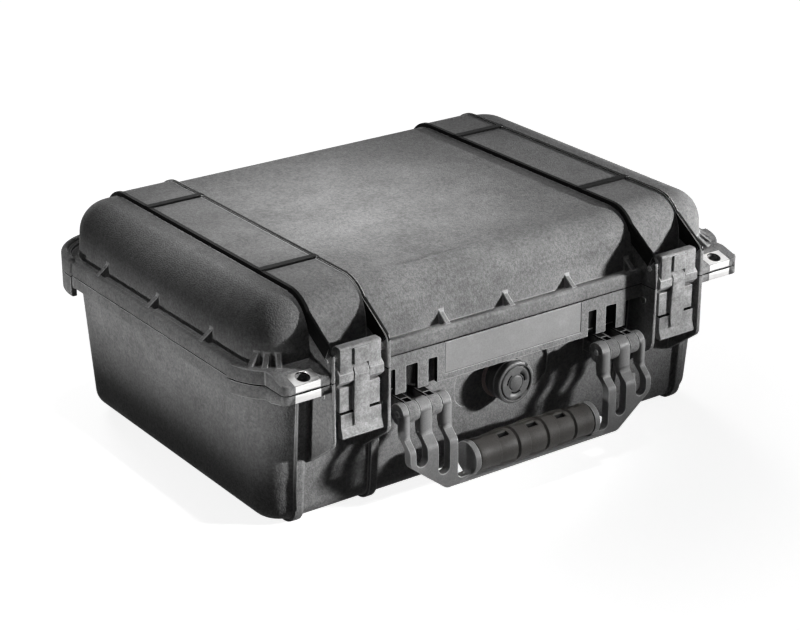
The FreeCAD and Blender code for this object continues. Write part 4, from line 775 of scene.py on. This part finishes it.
# Radius, and depth behind the front
KNOB_PROFILE = (
    (0.0, 0.1), (5.6, 0.1), (6.2, 0.5), (6.4, 0.9), (6.9, 0.9), (7.1, 0.5), (13.0, 0.5),
    (13.5, 0.9), (13.6, 2.1), (14.8, 2.1), (14.9, 0.6), (15.3, 0.1), (16.6, 0.1), (17.2, 0.5),
    (17.5, 1.2), (17.5, 5.4), (17.2, 5.8), (16.6, 6.1), (16.6, 7.0), (17.2, 7.3), (17.5, 7.7),
    (17.5, 13.0), (17.0, 13.9), (4.5, 13.9), (4.5, 20.3), (0.0, 20.3))
BRIDGE_ROWS, BRIDGE_ARC, BRIDGE_DEPTH = (8, 9), (290, 322), 0.6
NOTCH_ROWS, NOTCH_ARC, NOTCH_DEPTH = (10, 11, 12, 13), (50, 60), 1.6
KNOB_CREASE = math.radians(35)
RIM_RADII, RIM_TILT = (15.0, 17.45), (-0.95, -0.15)
FIRST_SLOT = math.radians(30)


def knob_blank():
    """The knob turned from its profile, with a bridge in its ring groove and a notch in its rim."""
    form = bmesh.new()
    rings = []
    for row, (radius, depth) in enumerate(KNOB_PROFILE):
        ring = []
        for step in range(KNOB_STEPS if radius else 1):
            degrees = 360.0 * step / KNOB_STEPS
            sunk = depth
            if row in BRIDGE_ROWS and within(degrees, BRIDGE_ARC):
                sunk = BRIDGE_DEPTH
            if row in NOTCH_ROWS and within(degrees, NOTCH_ARC):
                sunk = max(depth, NOTCH_DEPTH)
            turn = math.radians(degrees)
            ring.append(form.verts.new((
                radius * math.cos(turn) * MM, (KNOB_FRONT + sunk) * MM,
                (KNOB_Z + radius * math.sin(turn)) * MM)))
        rings.append(ring)
    for first, second in zip(rings, rings[1:]):
        for step in range(KNOB_STEPS):
            corners = [first[step % len(first)], first[(step + 1) % len(first)],
                       second[(step + 1) % len(second)], second[step % len(second)]]
            form.faces.new(list(dict.fromkeys(corners)))
    bmesh.ops.recalc_face_normals(form, faces=form.faces)
    for face in form.faces:
        face.smooth = True
    for edge in form.edges:
        edge.smooth = len(edge.link_faces) != 2 or edge.calc_face_angle() < KNOB_CREASE
    mesh = bpy.data.meshes.new("knob_blank")
    form.to_mesh(mesh)
    form.free()
    mesh.materials.append(VALVE)
    mesh.materials.append(VALVE_EDGE_RUB_AND_HIGHLIGHT)
    # The rounded front of the rim takes the lighter edge finish, a painted highlight
    for face in mesh.polygons:
        off_axis = math.hypot(face.center.x, face.center.z - KNOB_Z * MM) / MM
        if within(off_axis, RIM_RADII) and within(face.normal.y, RIM_TILT):
            face.material_index = EDGE
    return mesh


def slot_tree():
    """Arc slots cut round the face of the knob."""
    group, given, out = new_group(
        "knob_slots", "GeometryNodeTree",
        [("Geometry", GEOMETRY, None), ("Count", COUNT, 3), ("Radius", FLOAT, 0.0083),
         ("Slot Width", FLOAT, 0.0013), ("Slot Depth", FLOAT, 0.003),
         ("Sweep", FLOAT, math.radians(62)), ("Face Y", FLOAT, KNOB_FRONT * MM),
         ("Middle Z", FLOAT, KNOB_Z * MM), ("Finish", MATERIAL, None)],
        [("Geometry", GEOMETRY)])
    do = partial(maths, group)
    arc = add(group, "GeometryNodeCurveArc",
              {"Resolution": 22, "Radius": given["Radius"],
               "Sweep Angle": given["Sweep"]}).outputs["Curve"]
    bar = add(group, "GeometryNodeCurvePrimitiveQuadrilateral",
              {"Width": given["Slot Width"], "Height": given["Slot Depth"]}).outputs["Curve"]
    cutter = add(group, "GeometryNodeCurveToMesh",
                 {"Curve": arc, "Profile Curve": bar, "Fill Caps": True}).outputs[0]
    marked = marked_slots(group, cutter, 1.0)
    points = add(group, "GeometryNodePoints", {"Count": given["Count"]}).outputs[0]
    step = do("DIVIDE", 2 * math.pi, given["Count"])
    turn = do("MULTIPLY", add(group, "GeometryNodeInputIndex").outputs[0], step)
    start = do("SUBTRACT", FIRST_SLOT, do("MULTIPLY", given["Sweep"], 0.5))
    spin = add(group, "ShaderNodeCombineXYZ", {2: do("ADD", turn, start)}).outputs[0]
    rotation = add(group, "FunctionNodeEulerToRotation", {0: spin}).outputs[0]
    copies = add(group, "GeometryNodeInstanceOnPoints",
                 {"Points": points, "Instance": marked, "Rotation": rotation}).outputs[0]
    real = add(group, "GeometryNodeRealizeInstances", {"Geometry": copies}).outputs[0]
    spot = add(group, "ShaderNodeCombineXYZ",
               {1: given["Face Y"], 2: given["Middle Z"]}).outputs[0]
    placed = add(group, "GeometryNodeTransform",
                 {"Geometry": real, "Translation": spot,
                  "Rotation": (math.radians(90), 0, 0)}).outputs[0]
    cut = add(group, "GeometryNodeMeshBoolean", {"Mesh 1": given["Geometry"], "Mesh 2": placed},
              operation="DIFFERENCE", solver="EXACT").outputs[0]
    whole = add(group, "GeometryNodeRealizeInstances", {"Geometry": cut}).outputs[0]
    group.links.new(finished_slots(group, whole, given["Finish"]), out["Geometry"])
    return group


knob_work = work_object("knob_work", knob_blank())
# The knob's slots take painted shade
tree_inputs(knob_work, slot_tree(), {"Finish": SLOT_PAINTED_SHADE})
piece("valve_knob_turned", plain_mesh("valve_knob_turned", knob_work),
      "valve_knob", "valve_plastic", "valve_knob")


# Floor, light and camera

FLOOR_HALF, FLOOR_BOUNCE, FLOOR_SHOWN = 6.0, 0.12, 0.6
# The floor's own white, by the distance from its middle
FLOOR_WHITE_FROM, FLOOR_WHITE = (0.25, 0.5), (0.88, 1.0)
WORLD_LIGHT, WORLD_SEEN = 0.045, 1.0
# The camera fitted to the photograph: degrees, then mm from a point on the case's front
CAMERA_TURN, CAMERA_RISE = -35.7007, 23.0023
CAMERA_AWAY, CAMERA_LEFT, CAMERA_UP = 1671.228, 98.334, 9.432
CAMERA_AIM = (0, -169.0, 128.0)
SENSOR_WIDTH, FOCAL_LENGTH = 36.0, 97.8605


def light_path_factor(tree):
    """One where the camera looks, straight or by way of a reflection or glass."""
    path = add(tree, "ShaderNodeLightPath").outputs
    seen = maths(tree, "MAXIMUM", path["Is Camera Ray"], path["Is Glossy Ray"])
    return maths(tree, "MAXIMUM", seen, path["Is Transmission Ray"])


def pale_floor():
    """A plain pale floor that shows white and keeps a soft shadow."""
    form = bmesh.new()
    bmesh.ops.create_grid(form, x_segments=1, y_segments=1, size=FLOOR_HALF)
    mesh = bpy.data.meshes.new("floor")
    form.to_mesh(mesh)
    form.free()
    floor = bpy.data.objects.new("floor", mesh)
    bpy.context.scene.collection.objects.link(floor)
    finish = bpy.data.materials.new("floor_pale")
    finish.use_nodes = True
    tree = finish.node_tree
    tree.nodes.clear()
    bounce = add(tree, "ShaderNodeBsdfDiffuse", {"Color": grey(FLOOR_BOUNCE)}).outputs[0]
    shaded = add(tree, "ShaderNodeBsdfDiffuse", {"Color": grey(FLOOR_SHOWN)}).outputs[0]
    away = add(tree, "ShaderNodeVectorMath", {0: object_place(tree)},
               operation="LENGTH").outputs["Value"]
    strength = spread(tree, away, *FLOOR_WHITE_FROM, *FLOOR_WHITE, smooth=True)
    white = add(tree, "ShaderNodeEmission",
                {"Color": grey(1.0), "Strength": strength}).outputs[0]
    shown = add(tree, "ShaderNodeAddShader", {0: shaded, 1: white}).outputs[0]
    mixed = add(tree, "ShaderNodeMixShader",
                {0: light_path_factor(tree), 1: bounce, 2: shown}).outputs[0]
    add(tree, "ShaderNodeOutputMaterial", {"Surface": mixed})
    mesh.materials.append(finish)


def white_world():
    """White where it is seen, and a weak even light on the case."""
    world = bpy.data.worlds.new("studio")
    world.use_nodes = True
    tree = world.node_tree
    tree.nodes.clear()
    soft, white = (
        add(tree, "ShaderNodeBackground", {"Color": grey(1.0), "Strength": strength}).outputs[0]
        for strength in (WORLD_LIGHT, WORLD_SEEN))
    mixed = add(tree, "ShaderNodeMixShader",
                {0: light_path_factor(tree), 1: soft, 2: white}).outputs[0]
    add(tree, "ShaderNodeOutputWorld", {"Surface": mixed})
    bpy.context.scene.world = world


def strip_lamp(name, place, aim, size, power, beam):
    """A soft lamp behind a grid, which keeps its light to a beam of the given degrees."""
    lamp = bpy.data.lights.new(name, "AREA")
    lamp.shape = "RECTANGLE"
    lamp.size, lamp.size_y = size
    lamp.energy = power
    lamp.spread = math.radians(beam)
    made = bpy.data.objects.new(name, lamp)
    made.location = place
    made.rotation_euler = (Vector(aim) - Vector(place)).to_track_quat("-Z", "Y").to_euler()
    bpy.context.scene.collection.objects.link(made)


def photo_camera():
    """The photograph's viewpoint, fitted to the rim, latches and ribs."""
    turn, rise = math.radians(CAMERA_TURN), math.radians(CAMERA_RISE)
    across = Vector((math.cos(turn), math.sin(turn), 0))
    back = Vector((math.sin(turn) * math.cos(rise), -math.cos(turn) * math.cos(rise),
                   math.sin(rise)))
    up = back.cross(across)
    spot = (back * CAMERA_AWAY - across * CAMERA_LEFT + up * CAMERA_UP + Vector(CAMERA_AIM)) * MM
    lens = bpy.data.cameras.new("camera")
    lens.sensor_fit = "HORIZONTAL"
    lens.sensor_width = SENSOR_WIDTH
    lens.lens = FOCAL_LENGTH
    lens.clip_start = 0.05
    made = bpy.data.objects.new("camera", lens)
    made.matrix_world = Matrix((
        (across.x, up.x, back.x, spot.x), (across.y, up.y, back.y, spot.y),
        (across.z, up.z, back.z, spot.z), (0, 0, 0, 1)))
    bpy.context.scene.collection.objects.link(made)
    bpy.context.scene.camera = made


pale_floor()
white_world()
strip_lamp("key_lamp", place=(1.37, -1.393, 0.595), aim=(0.0, -0.16, 0.128),
           size=(0.7, 0.06), power=0.98, beam=9.5)
strip_lamp("top_lamp", place=(-0.06, 0.0, 1.6), aim=(-0.06, 0.001, 0.18),
           size=(0.12, 0.12), power=0.3, beam=16.5)
strip_lamp("left_lamp", place=(-1.35, 0.1, 0.1), aim=(-0.237, 0.02, 0.1),
           size=(0.9, 0.02), power=0.22, beam=7.0)
strip_lamp("back_lamp", place=(0.4, 1.7, 0.6), aim=(0.0, 0.15, 0.09),
           size=(1.0, 0.4), power=1.0, beam=40.0)
photo_camera()
bpy.context.scene.view_settings.view_transform = "Standard"
